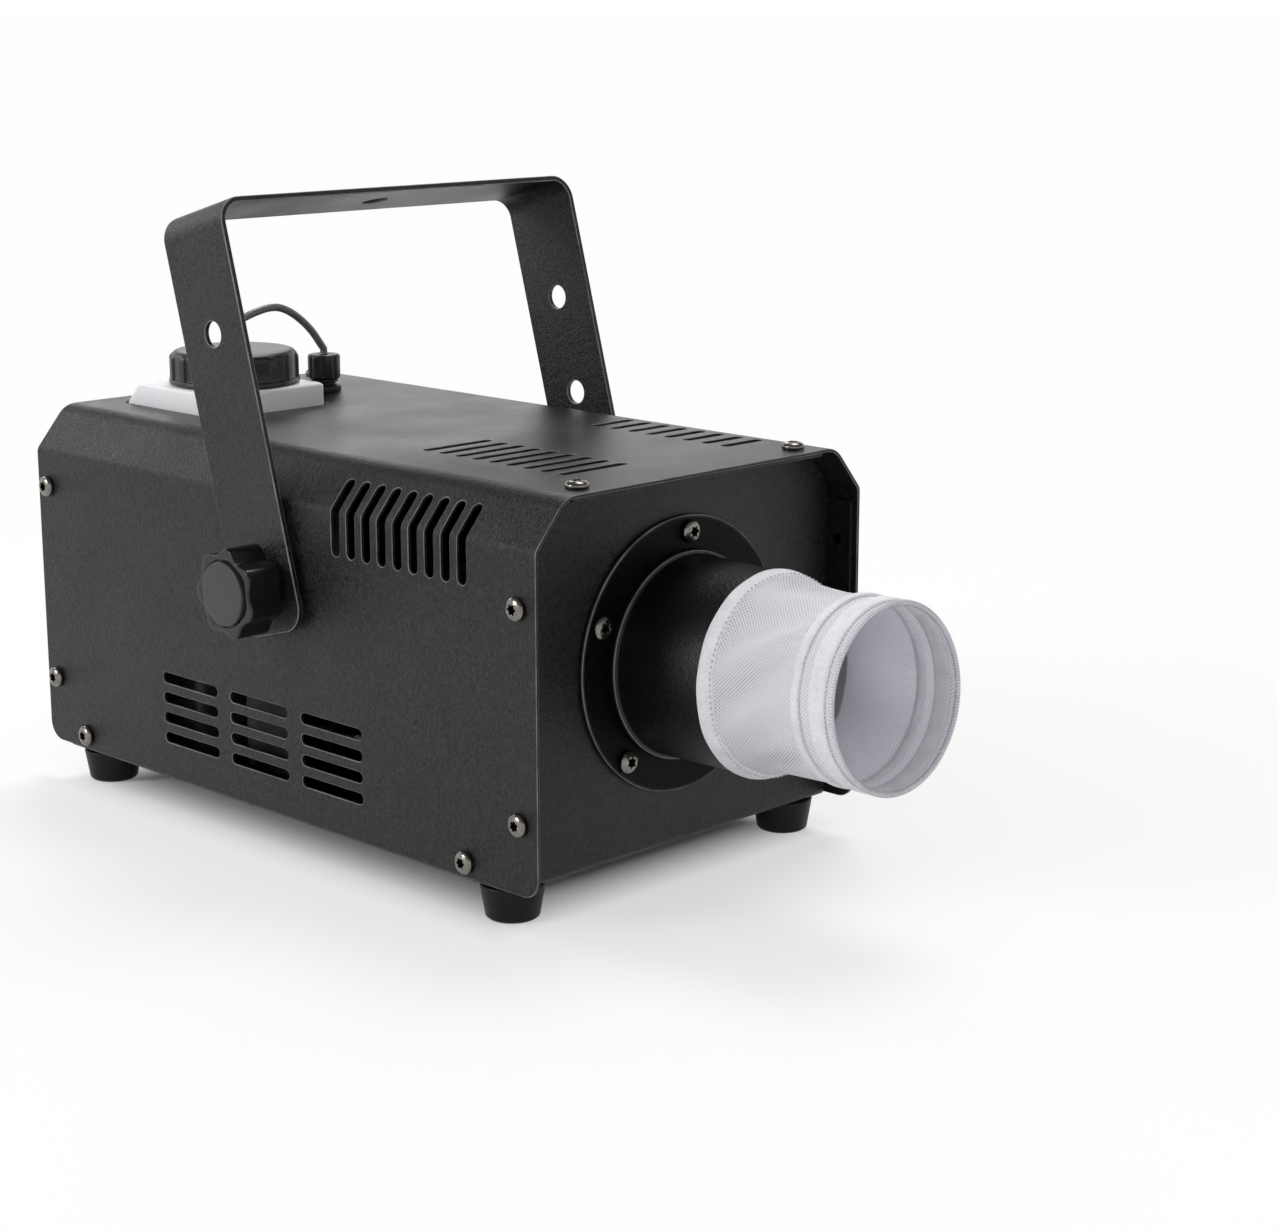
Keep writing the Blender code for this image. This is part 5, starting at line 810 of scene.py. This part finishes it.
def addKnobs():
    # The ring of lobes closes on its stud behind and on the well in its face, where the disc sits
    grid = knobGrid()
    columns = grid.shape[1]
    face = knob["hubLength"] + knob["thick"]
    disc, top, thread, end = knob["disc"], face + knob["discHeight"], knob["stud"], knob["studLength"]
    stud = turned(np.array([(0, -end), (thread - 0.6, -end), (thread, 0.5 - end), (thread, 0)]), columns)
    well = turned(np.array([(disc + 0.05, face - 2.2), (0, face - 2.2)]), columns)
    whole = np.concatenate([stud, grid, well])
    corners = [(0, face - 2, 0), (disc, face - 2, 0), (disc, top, 0.55), (disc - 2.5, top, 4), (0, top + 0.1, 0)]
    for side, way in ((-1, "left"), (1, "right")):
        centre = (side * knob["seat"], *yoke["pivot"][1:])
        makePiece(way + "Knob", placed(whole, centre, way), [gridFaces(*whole.shape[:2])], way + "_knob",
                  materials["knob"], "gloss_plastic", [way + "_knob"], sharp=40)
        addTurned(way + "KnobDisc", corners, 120, centre, way, way + "_knob", materials["knobFace"],
                  "gloss_plastic")


addKnobs()
print("knobs turned")


# Tank, cap and fittings

tank = {"x": (-64, 12), "y": (60, 126), "bottom": 0.5, "shoulder": 125, "deckX": (-45.5, 5), "deckY": (66.8, 125.8),
        "top": 138.2, "chamfer": 7.5, "wall": 2, "neck": 20, "neckTop": 148.2, "centre": (-18.5, 92.55),
        "cornerSteps": 10}


def tankRings():
    # Rounded rectangles and circles of equal point counts: each corner's arc becomes a quarter of a circle
    steps = tank["cornerSteps"]
    quarter = (np.arange(steps + 1) / steps + np.arange(4)[:, None]) * math.pi / 2
    even = ((np.arange(steps + 1) + 0.5) / (steps + 1) + np.arange(4)[:, None]).ravel() * math.pi / 2
    way = np.stack([np.cos(quarter), np.sin(quarter)], axis=-1)
    signs = np.array([(1, 1), (-1, 1), (-1, -1), (1, -1)])[:, None]

    def box(sides, inset, radius, height, rearCut=0.0):
        low, high = np.array(sides, float).T + np.array([[inset], [-inset]])
        high[1] -= rearCut
        flat = ((low + high) / 2 + signs * ((high - low) / 2 - radius) + radius * way).reshape(-1, 2)
        return np.column_stack([flat, np.full(len(flat), height)])

    def circle(radius, height):
        x, y = tank["centre"]
        return np.column_stack([x + radius * np.cos(even), y + radius * np.sin(even), height + 0 * even])
    body, deck = (tank["x"], tank["y"]), (tank["deckX"], tank["deckY"])
    bottom, shoulder, top, neckTop = tank["bottom"], tank["shoulder"], tank["top"], tank["neckTop"]
    wall, chamfer = tank["wall"], tank["chamfer"]
    step = top - chamfer
    rings = [box(body, 3, 5, bottom), box(body, 0.6, 6, bottom + 0.6), box(body, 0, 6, bottom + 3),
             box(body, 0, 6, shoulder - 3), box(deck, 0, 2, shoulder), box(deck, 0, 2, step - 0.8)]
    for t in np.linspace(0, math.pi / 2, 5):
        drop, back = 1.3 * (1 - math.sin(t)), 1.3 * (1 - math.cos(t))
        rings.append(box(deck, back, 2.2 + 0.5 * back, top - drop, chamfer - drop))
    rings += [circle(tank["neck"] + more, height) for more, height in (
        (1.5, top), (0.4, top + 0.35), (0, top + 1.4), (0, neckTop - 0.5), (-0.5, neckTop), (0.4 - wall, neckTop),
        (-wall, neckTop - 0.5), (-wall, top - wall))]
    return np.array(rings + [
        box(deck, wall, 1.5, top - wall, chamfer), box(deck, wall, 1.5, step - wall),
        box(deck, wall, 1.5, shoulder - wall), box(body, wall, 5, shoulder - 3 - wall),
        box(body, wall, 5, bottom + wall)])


def addTank():
    rings = tankRings()
    count = rings.shape[1]
    points = rings.reshape(-1, 3)
    ends = [np.arange(count)[None, ::-1], (len(points) - count + np.arange(count))[None, :]]
    makePiece("tank", points, [gridFaces(*rings.shape[:2])] + ends, "case", materials["milky"], "milky_plastic",
              ["fluid_tank"], sharp=38)


cap = {"base": 138.5, "height": 12.5, "radius": 23.8, "skirt": 24.8, "skirtHeight": 2, "ribs": 16, "ribWidth": 2.6,
       "ribDepth": 0.8, "round": 2.6, "bore": 20.4, "lid": 2.4, "hole": 3, "perRib": 16}


def addCap():
    # Ribs stand on the wall as flat-topped waves across a third of their pitch and fade into the shoulder
    count, radius, depth, bore, hole = (cap[key] for key in ("ribs", "radius", "ribDepth", "bore", "hole"))
    angle = angles(count * cap["perRib"])
    across = np.abs((angle * count / (2 * math.pi) + 0.5) % 1 - 0.5) * 2 * math.pi * radius / count
    rib = depth * np.clip((cap["ribWidth"] / 2 + 0.35 - across) / 0.5, 0, 1)
    rib = rib ** 2 * (3 * depth - 2 * rib) / depth ** 2
    top, r, skirt, step = (cap[key] for key in ("height", "round", "skirt", "skirtHeight"))
    under = top - cap["lid"]
    rows = [(bore, 0.3, 0), (bore + 0.3, 0, 0), (skirt - 0.4, 0, 0), (skirt, 0.4, 0), (skirt, step - 0.4, 0),
            (skirt - 0.3, step, 0), (radius + 0.15, step + 0.1, 0.9), (radius, step + 0.7, 1), (radius, 6, 1),
            (radius, top - r - 0.6, 1)]
    rows += [(radius - r * (1 - math.cos(t)), top - r * (1 - math.sin(t)), max(0, 1 - 1.4 * t))
             for t in np.linspace(0.1, math.pi / 2, 8)]
    rows += [(19, top - 0.05, 0), (15, top - 0.25, 0), (9, top - 0.3, 0), (5, top - 0.25, 0),
             (hole + 0.3, top - 0.25, 0), (hole, top - 0.5, 0), (hole, under, 0), (bore - 0.5, under, 0),
             (bore, under - 0.5, 0)]
    grid = reliefGrid(rows, rib, angle)
    makePiece("cap", placed(grid, (*tank["centre"], cap["base"])), [gridFaces(*grid.shape[:2], closedRows=True)],
              "tank_cap", materials["cap"], "matte_plastic", ["tank_cap"], sharp=38)


gland = {"centre": (26, 93.55), "base": 130.3, "nutBase": 135.2, "nutRadius": 6.4, "nutHeight": 9.6, "flutes": 8,
         "fluteColumns": 14, "fluteDepth": 0.55, "nutRound": 1.1}


def addFittings():
    addTurned("capFitting", [(0, -6.4, 0), (2.6, -6.4, 0.2), (2.6, 0.3, 0), (5, 0.3, 0), (5, 1.8, 0.4),
                             (3.6, 1.9, 0.5), (3.5, 6.5, 0.8), (1.7, 6.5, 0.2), (1.6, 5.2, 0), (0, 5.2, 0)], 64,
              (*tank["centre"], cap["base"] + cap["height"]), "up", "case", materials["matte"], "matte_plastic",
              ["cap_fitting"])
    addTurned("gland", [(0, -12, 0), (2.2, -12, 0.2), (4.8, -6, 0.3), (4.8, 0, 0), (6.6, 0, 0.2), (6.6, 2.1, 0.5),
                        (4.4, 2.7, 0.5), (4.4, 3.4, 0.3), (5.4, 3.7, 0.3), (5.4, 4.6, 0.2), (0, 4.6, 0)], 64,
              (*gland["centre"], gland["base"]), "up", "case", materials["matte"], "matte_plastic",
              ["bulkhead_fitting"])
    # The nut's flutes are notches between broad lands; both ends are rounded over
    angle = angles(gland["flutes"] * gland["fluteColumns"])
    notch = gland["fluteDepth"] * ((1 + np.cos(gland["flutes"] * angle)) / 2) ** 5
    wide, high, r = gland["nutRadius"], gland["nutHeight"], gland["nutRound"]
    rows = [(0, 0.4, 0), (1.8, 0.4, 0), (2, 0, 0), (5.6, 0, 0), (6.25, 0.4, 0.6), (wide, 1.0, 1),
            (wide, 0.72 * high, 1)]
    rows += [(wide - r * (1 - math.cos(t)), high - r * (1 - math.sin(t)), 1 - 0.6 * t)
             for t in np.linspace(0.1, 1.57, 6)]
    rows += [(2.4, high - 0.1, 0), (1.9, high - 0.4, 0), (1.8, high - 1.4, 0), (0, high - 1.4, 0)]
    grid = reliefGrid(rows, -notch, angle)
    makePiece("hoseNut", placed(grid, (*gland["centre"], gland["nutBase"])), [gridFaces(*grid.shape[:2])],
              "hose_nut", materials["matte"], "matte_plastic", ["compression_nut"], sharp=40)


hose = {"diameter": 3.0, "points": (
    (-18.5, 92.55, 157.8), (-18.5, 92.55, 159.6), (-14.05, 92.65, 162.2), (0.64, 92.98, 165.4), (10.2, 93.2, 162.5),
    (19.77, 93.41, 155.0), (24.44, 93.5, 148.7), (26, 93.55, 146.9), (26, 93.55, 145.1))}


def smoothRoute(points, count):
    # A Catmull-Rom curve through the points, read at equal steps between its straight ends
    points = np.array(points, float)
    fine = []
    for a, b, c, d in zip(points, points[1:], points[2:], points[3:]):
        share = np.linspace(0, 1, 40, endpoint=False)[:, None]
        fine.append(0.5 * (2 * b + (c - a) * share + (2 * a - 5 * b + 4 * c - d) * share ** 2
                           + (3 * b - a - 3 * c + d) * share ** 3))
    fine = np.vstack(fine + [points[-2:-1]])
    gone = np.concatenate([[0], np.cumsum(np.linalg.norm(np.diff(fine, axis=0), axis=1))])
    wanted = np.linspace(0, gone[-1], count)
    middle = np.stack([np.interp(wanted, gone, fine[:, axis]) for axis in range(3)], axis=1)
    for _ in range(4):
        middle[1:-1] = (middle[:-2] + 2 * middle[1:-1] + middle[2:]) / 4
    return np.vstack([points[:1], middle, points[-1:]])


def addHose():
    route = smoothRoute(hose["points"], 28) * mm + caseOrigin
    curve = bpy.data.curves.new("feedHose", "CURVE")
    curve.dimensions = "3D"
    curve.bevel_depth = hose["diameter"] / 2 * mm
    curve.bevel_resolution = 6
    curve.use_fill_caps = True
    spline = curve.splines.new("POLY")
    spline.points.add(len(route) - 1)
    spline.points.foreach_set("co", np.hstack([route, np.ones((len(route), 1))]).astype(np.float32).ravel())
    spline.use_smooth = True
    curve.materials.append(materials["hose"])
    piece = newObject("feedHose", curve)
    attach(piece, "case")
    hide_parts("feed_hose")


addTank()
addCap()
addFittings()
addHose()
print("tank, cap and hose set")


# Mesh sock

sock = {
    "back": -166.5, "mouth": -171, "front": -219.4, "waist": -202.8, "wall": 0.3, "rows": 150, "columns": 336,
    "rim": -219.6, "rimRadius": 0.8, "mapRadius": 32.5, "clothRadius": 34.2,
    # Place forward, radius and lift of the axis: over the tube's end, then in to the drawcord's waist
    "stations": ((-150, 34.5, 0), (-167, 34.4, 0), (-170, 33.6, 0.2), (-173, 32.4, 0.6), (-177, 31.3, 1.0),
                 (-183, 30.6, 1.2), (-190, 30.2, 1.3), (-202, 30.1, 1.4), (-210, 30.2, 1.5), (-222, 30.2, 1.6)),
    # Angle at the hem and at the channel, size and width
    "folds": ((1.5, 1.42, -1.0, 0.24), (2.02, 1.78, 1.0, 0.12), (2.42, 2.05, -0.6, 0.2), (2.95, 2.25, 1.1, 0.11),
              (3.32, 2.62, -1.1, 0.16), (3.62, 2.95, 0.7, 0.12), (3.95, 3.3, -0.6, 0.16), (4.3, 3.75, -1.1, 0.22),
              (4.75, 4.3, 0.8, 0.2), (5.25, 4.9, -0.8, 0.25), (5.8, 5.6, 0.8, 0.25), (6.3, 6.2, -0.9, 0.3),
              (0.75, 0.85, 0.8, 0.25)),
    # Place, width, height, lift off the sleeve, points round, power of the oval and wobble
    "bands": {"sockHem": (-169.3, 5.6, 0.8, 0.2, 14, 3.4, 0.2),
              "sockChannel": (-204.8, 3.8, 1.7, 0.4, 14, 2.3, 0.12),
              "sockCuff": (-213.6, 6.8, 1.5, 0.3, 14, 2.8, 0.08),
              "sockRim": (-219.6, 1.6, 1.6, 0.1, 10, 2, 0)},
    # Place, lift and count
    "stitches": {"hemStitches": (-171.4, 0.75, 110), "channelStitches": (-206.4, 0.8, 100),
                 "cuffStitches": (-217.2, 0.5, 120)},
}


def sockRadius(y):
    # The sleeve's middle radius and the lift of its axis, smoothed along its stations
    stations = np.array(sock["stations"])
    line = np.linspace(stations[0, 0], stations[-1, 0], 240)
    soft = []
    for column in (1, 2):
        rough = np.interp(-line, -stations[:, 0], stations[:, column])
        soft.append(np.convolve(np.pad(rough, 4, mode="edge"), np.full(9, 1 / 9), mode="valid"))
    return np.interp(-y, -line, soft[0]), np.interp(-y, -line, soft[1])


def sockFolds(y, angle):
    # Tension folds run slantwise from hem to channel: each is a ridge or valley whose place and width
    # change along the sleeve, strongest halfway; short gathers stand next to the channel
    waist, start = sock["waist"], sock["mouth"] + 1
    share = np.clip((start - y) / (start - waist), 0, 1)
    total = 0 * angle + 0 * y
    for atHem, atChannel, size, width in sock["folds"]:
        off = np.angle(np.exp(1j * (angle - atHem - (atChannel - atHem) * share)))
        total = total + size * np.exp(-(off / (width * (1.25 - 0.6 * share))) ** 2) * np.sin(math.pi * share) ** 0.7
    near = np.exp(-((y - waist) / 3.5) ** 2) * (y > waist)
    return total + 0.16 * np.sin(46 * angle + 1.5 * np.sin(5 * angle)) * near


def sockPoint(y, angle, out=0.0):
    # Every circle leans: its top stands back, and its right side forward, more so towards the rim
    lean = 1.2 + 1.0 * np.clip((-172 - y) / 30, 0, 1)
    middle, lift = sockRadius(y)
    radius = middle + sockFolds(y, angle) + out
    return np.stack([radius * np.cos(angle), y + lean * (np.sin(angle) - 0.36 * np.cos(angle)),
                     nozzle["height"] + lift + radius * np.sin(angle)], axis=-1)


def addSewn(name, points, faces, material="band", sharp=60, **more):
    return makePiece(name, points.reshape(-1, 3), [faces], "sock", materials[material], "mesh_fabric", sharp=sharp,
                     **more)


def addBand(name, middle, width, height, out, sides, power, wobble):
    # A flat oval carried round the sleeve: |cos t|^(2/p) wide and |sin t|^(2/p) high
    angle, t = angles(240), angles(sides)
    across = np.sign(np.cos(t)) * np.abs(np.cos(t)) ** (2 / power) * width / 2
    lift = np.sign(np.sin(t)) * np.abs(np.sin(t)) ** (2 / power) * height / 2
    y = middle + across + (wobble * np.sin(9 * angle + 1) * np.sin(4 * angle))[:, None]
    grid = sockPoint(y, angle[:, None] + 0 * y, out + lift + 0 * y)
    return addSewn(name, grid, gridFaces(len(angle), sides, closedRows=True))


def addStitches(name, y, out, count, length=1.1, thick=0.2):
    # Short threads along a circle: each is a small lens of 5 by 6 points that dips in at both ends
    angle = (np.arange(count) + 0.5) * 2 * math.pi / count
    along = np.linspace(-0.5, 0.5, 5)
    t = angles(6)
    bulge = np.sqrt(np.maximum(1 - (2 * along) ** 2, 0.0))[:, None]
    place = angle[:, None, None] + along[:, None] * length / 34.0 + 0 * t
    lift = out + thick * bulge * np.sin(t) + 0.12 * bulge - 0.1 + 0 * place
    points = sockPoint(y + thick * bulge * np.cos(t) + 0 * place, place, lift)
    faces = gridFaces(5, 6)[None] + (np.arange(count) * 30)[:, None, None]
    return addSewn(name, points, faces.reshape(-1, 4), "thread", 80)


def addOverlock():
    # A thread wound round the rim: a small circle turns as its centre goes round the large one
    count, wraps = 2600, 190
    angle = np.arange(count) / count * 2 * math.pi
    small = wraps * angle
    centre = sockPoint(sock["rim"] + 0 * angle, angle, 0.1 + 0 * angle)
    out = np.stack([np.cos(angle), 0 * angle, np.sin(angle)], axis=-1)
    reach = sock["rimRadius"] + 0.07
    path = centre + reach * (np.cos(small)[:, None] * out + np.sin(small)[:, None] * np.array([0, 1, 0]))
    return addSewn("sockOverlock", tube(path, 0.16, 4), gridFaces(count, 4, closedRows=True), "thread", 80)


def addSock():
    # Sleeve: rows run from the hem to the rim, its map is in real metres, and its pull mark is high in valleys
    share = np.linspace(0, 1, sock["rows"])[:, None]
    turn = (np.arange(sock["columns"] + 1) * 2 * math.pi / sock["columns"])[None, :]
    y = sock["back"] + (sock["front"] - sock["back"]) * share + 0 * turn
    angle = turn - math.pi / 2 + 0 * y
    points = sockPoint(y, angle)
    faces = gridFaces(*points.shape[:2], closedColumns=False)
    uv = np.stack([turn * sock["mapRadius"] * mm + 0 * y, -y * mm], axis=-1).reshape(-1, 2)[faces.ravel()]
    pull = np.clip(-sockFolds(y, angle), -1, 1)
    sleeve = addSewn("sockSleeve", points, faces, "net", 80, stands=["snow_sock"], uv=uv, marks={"pull": pull})
    thick = sleeve.modifiers.new("clothThickness", "SOLIDIFY")
    thick.thickness = sock["wall"] * mm
    thick.offset = 0
    sewn = [addBand(name, *sizes) for name, sizes in sock["bands"].items()]
    sewn += [addStitches(name, *sizes) for name, sizes in sock["stitches"].items()] + [addOverlock()]


addSock()
print("sock sewn")


# Frame nodes that stay: edges are softened by modifiers, and each gets its material

nodeFinishes = {
    "chassis_tray": ("panel", 0.3), "spray_nozzle": ("brass", 0.2), "left_pivot_bush": ("zinc", 0.3),
    "right_pivot_bush": ("zinc", 0.3), "left_washer": ("matte", 0.2), "right_washer": ("matte", 0.2),
    "dip_tube": ("hose", 0), "pickup_filter": ("filter", 0.3), "suction_hose": ("hose", 0),
    # Pump body and blower motor take the near-black steel: painted shade behind the vents
    "delivery_hose": ("hose", 0), "pump_mount": ("rubber", 0.5), "pump_body": ("motor", 0.5),
    "blower_housing": ("matte", 0.3), "blower_wheel": ("matte", 0), "blower_motor": ("motor", 0.5),
    "power_inlet": ("matte", 0.3), "switch_housing": ("matte", 0.3), "switch_rocker": ("knob", 0.3),
    "fuse_holder": ("matte", 0.3), "fuse_cap": ("matte", 0.3), "control_board": ("board", 0.2),
}


def finishNodes():
    for name, (finish, softness) in nodeFinishes.items():
        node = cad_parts[name]
        node.data.materials.clear()
        node.data.materials.append(materials[finish])
        if softness:
            weld = node.modifiers.new("weld", "WELD")
            weld.merge_threshold = 0.00001
            bevel = node.modifiers.new("softEdges", "BEVEL")
            bevel.width = softness * mm
            bevel.segments = 2
            bevel.limit_method = "ANGLE"
            bevel.angle_limit = math.radians(40)
            bevel.harden_normals = True
    for name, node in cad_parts.items():
        if node.hide_render and not node.data.materials:
            node.data.materials.append(materials["case"])


finishNodes()
print("frame nodes finished")


# Stage, lights and camera

stage = {"floor": 0.8, "white": 0.985, "sky": 0.58, "side": 60.0, "near": 0.6, "far": 1.0, "reach": (0.15, 0.8),
         "under": (("X", 0.0, 0.06), ("Y", 0.04, 0.1)), "fade": 0.03, "ceiling": 0.2}


def seenRay(tree):
    # One for a ray from the camera, off a glossy surface or through a clear one
    path = addNode(tree, "LightPath").outputs
    seen = calc(tree, "MAXIMUM", path["Is Camera Ray"], path["Is Glossy Ray"])
    return calc(tree, "MAXIMUM", seen, path["Is Transmission Ray"])


def addFloor():
    # Pale floor whose white, as the camera and reflections see it, is part glow: none of it under the case and
    # some of it close by, so that the shadow stays
    material, tree, shader, where = newMaterial("paleFloor", rough=0.6, gloss=0.2)
    pale = stage["floor"]
    wire(tree, shader, colour=tones(tree, noise(tree, where, 3, 2), pale - 0.01, pale))
    parts = addNode(tree, "SeparateXYZ", {"Vector": where}).outputs
    past = [calc(tree, "SUBTRACT", calc(tree, "ABSOLUTE", calc(tree, "SUBTRACT", parts[axis], middle)), half)
            for axis, middle, half in stage["under"]]
    close = spread(tree, calc(tree, "MAXIMUM", *past), 0, stage["near"], 0, stage["fade"])
    away = addNode(tree, "VectorMath", {0: where}, operation="LENGTH").outputs["Value"]
    glow = blend(tree, spread(tree, away, 0, 1, *stage["reach"]), close, stage["far"], "FLOAT")
    shaded = addNode(tree, "BsdfDiffuse", {"Color": (0.95, 0.95, 0.95, 1)}).outputs["BSDF"]
    lit = addNode(tree, "Emission", {"Color": (1, 1, 1, 1), "Strength": stage["white"]}).outputs["Emission"]
    whole = blendShaders(tree, seenRay(tree), shader.outputs["BSDF"], blendShaders(tree, glow, shaded, lit))
    tree.links.new(whole, tree.nodes["Material Output"].inputs["Surface"])
    mesh = bpy.data.meshes.new("floor")
    side = stage["side"]
    mesh.from_pydata([(-side, -side, 0), (side, -side, 0), (side, side, 0), (-side, side, 0)], [], [(0, 1, 2, 3)])
    mesh.materials.append(material)
    newObject("floor", mesh)


def addWorld():
    # White backdrop all round that fades to a dimmer ceiling; plain sky light for everything else
    world = bpy.data.worlds.new("studio")
    bpy.context.scene.world = world
    world.use_nodes = True
    tree = world.node_tree
    tree.nodes.clear()
    way = addNode(tree, "TexCoord").outputs["Generated"]
    height = addNode(tree, "SeparateXYZ", {"Vector": way}).outputs["Z"]
    backdrop = spread(tree, height, 1.0, stage["ceiling"], 0.3, 0.5)
    strength = blend(tree, seenRay(tree), stage["sky"], backdrop, "FLOAT")
    back = addNode(tree, "Background", {"Color": (1, 1, 1, 1), "Strength": strength})
    addNode(tree, "OutputWorld", {"Surface": back.outputs["Background"]}).is_active_output = True


def addLamp(name, kind, place, aim, **settings):
    data = bpy.data.lights.new(name, kind)
    for key, value in settings.items():
        setattr(data, key, value)
    lamp = newObject(name, data)
    lamp.location = place
    lamp.rotation_euler = (lamp.location - Vector(aim)).to_track_quat("Z", "Y").to_euler()


# Softboxes far off, each with the way to it, its breadth in degrees and its strength
farLights = {"keySoftbox": ((-0.84, 0.36, 0.38), 24, 1.1), "topSoftbox": ((0.42, 0.2, 0.88), 24, 1.1),
             "backSoftbox": ((0.55, 0.68, 0.5), 16, 0.3)}


def addLights():
    # The last one is small and close behind the left shoulder
    for name, (way, breadth, strength) in farLights.items():
        addLamp(name, "SUN", way, (0, 0, 0), angle=math.radians(breadth), energy=strength)
    addLamp("shoulderSoftbox", "AREA", (-0.2, 0.56, 0.42), (-0.07, 0.1, 0.13), shape="SQUARE", size=0.16, energy=0.4)


def addCamera():
    data = bpy.data.cameras.new("camera")
    data.sensor_fit = "HORIZONTAL"
    data.sensor_width = 36
    data.lens = 73.72
    data.clip_start, data.clip_end = 0.01, 50
    eye = newObject("camera", data)
    eye.location = (-0.6227, -0.67765, 0.2945)
    eye.rotation_euler = (math.radians(90 - 13.22), 0, math.radians(-45.54))
    bpy.context.scene.camera = eye


addFloor()
addWorld()
addLights()
addCamera()
bpy.context.scene.view_settings.view_transform = "Standard"
print("stage lit")
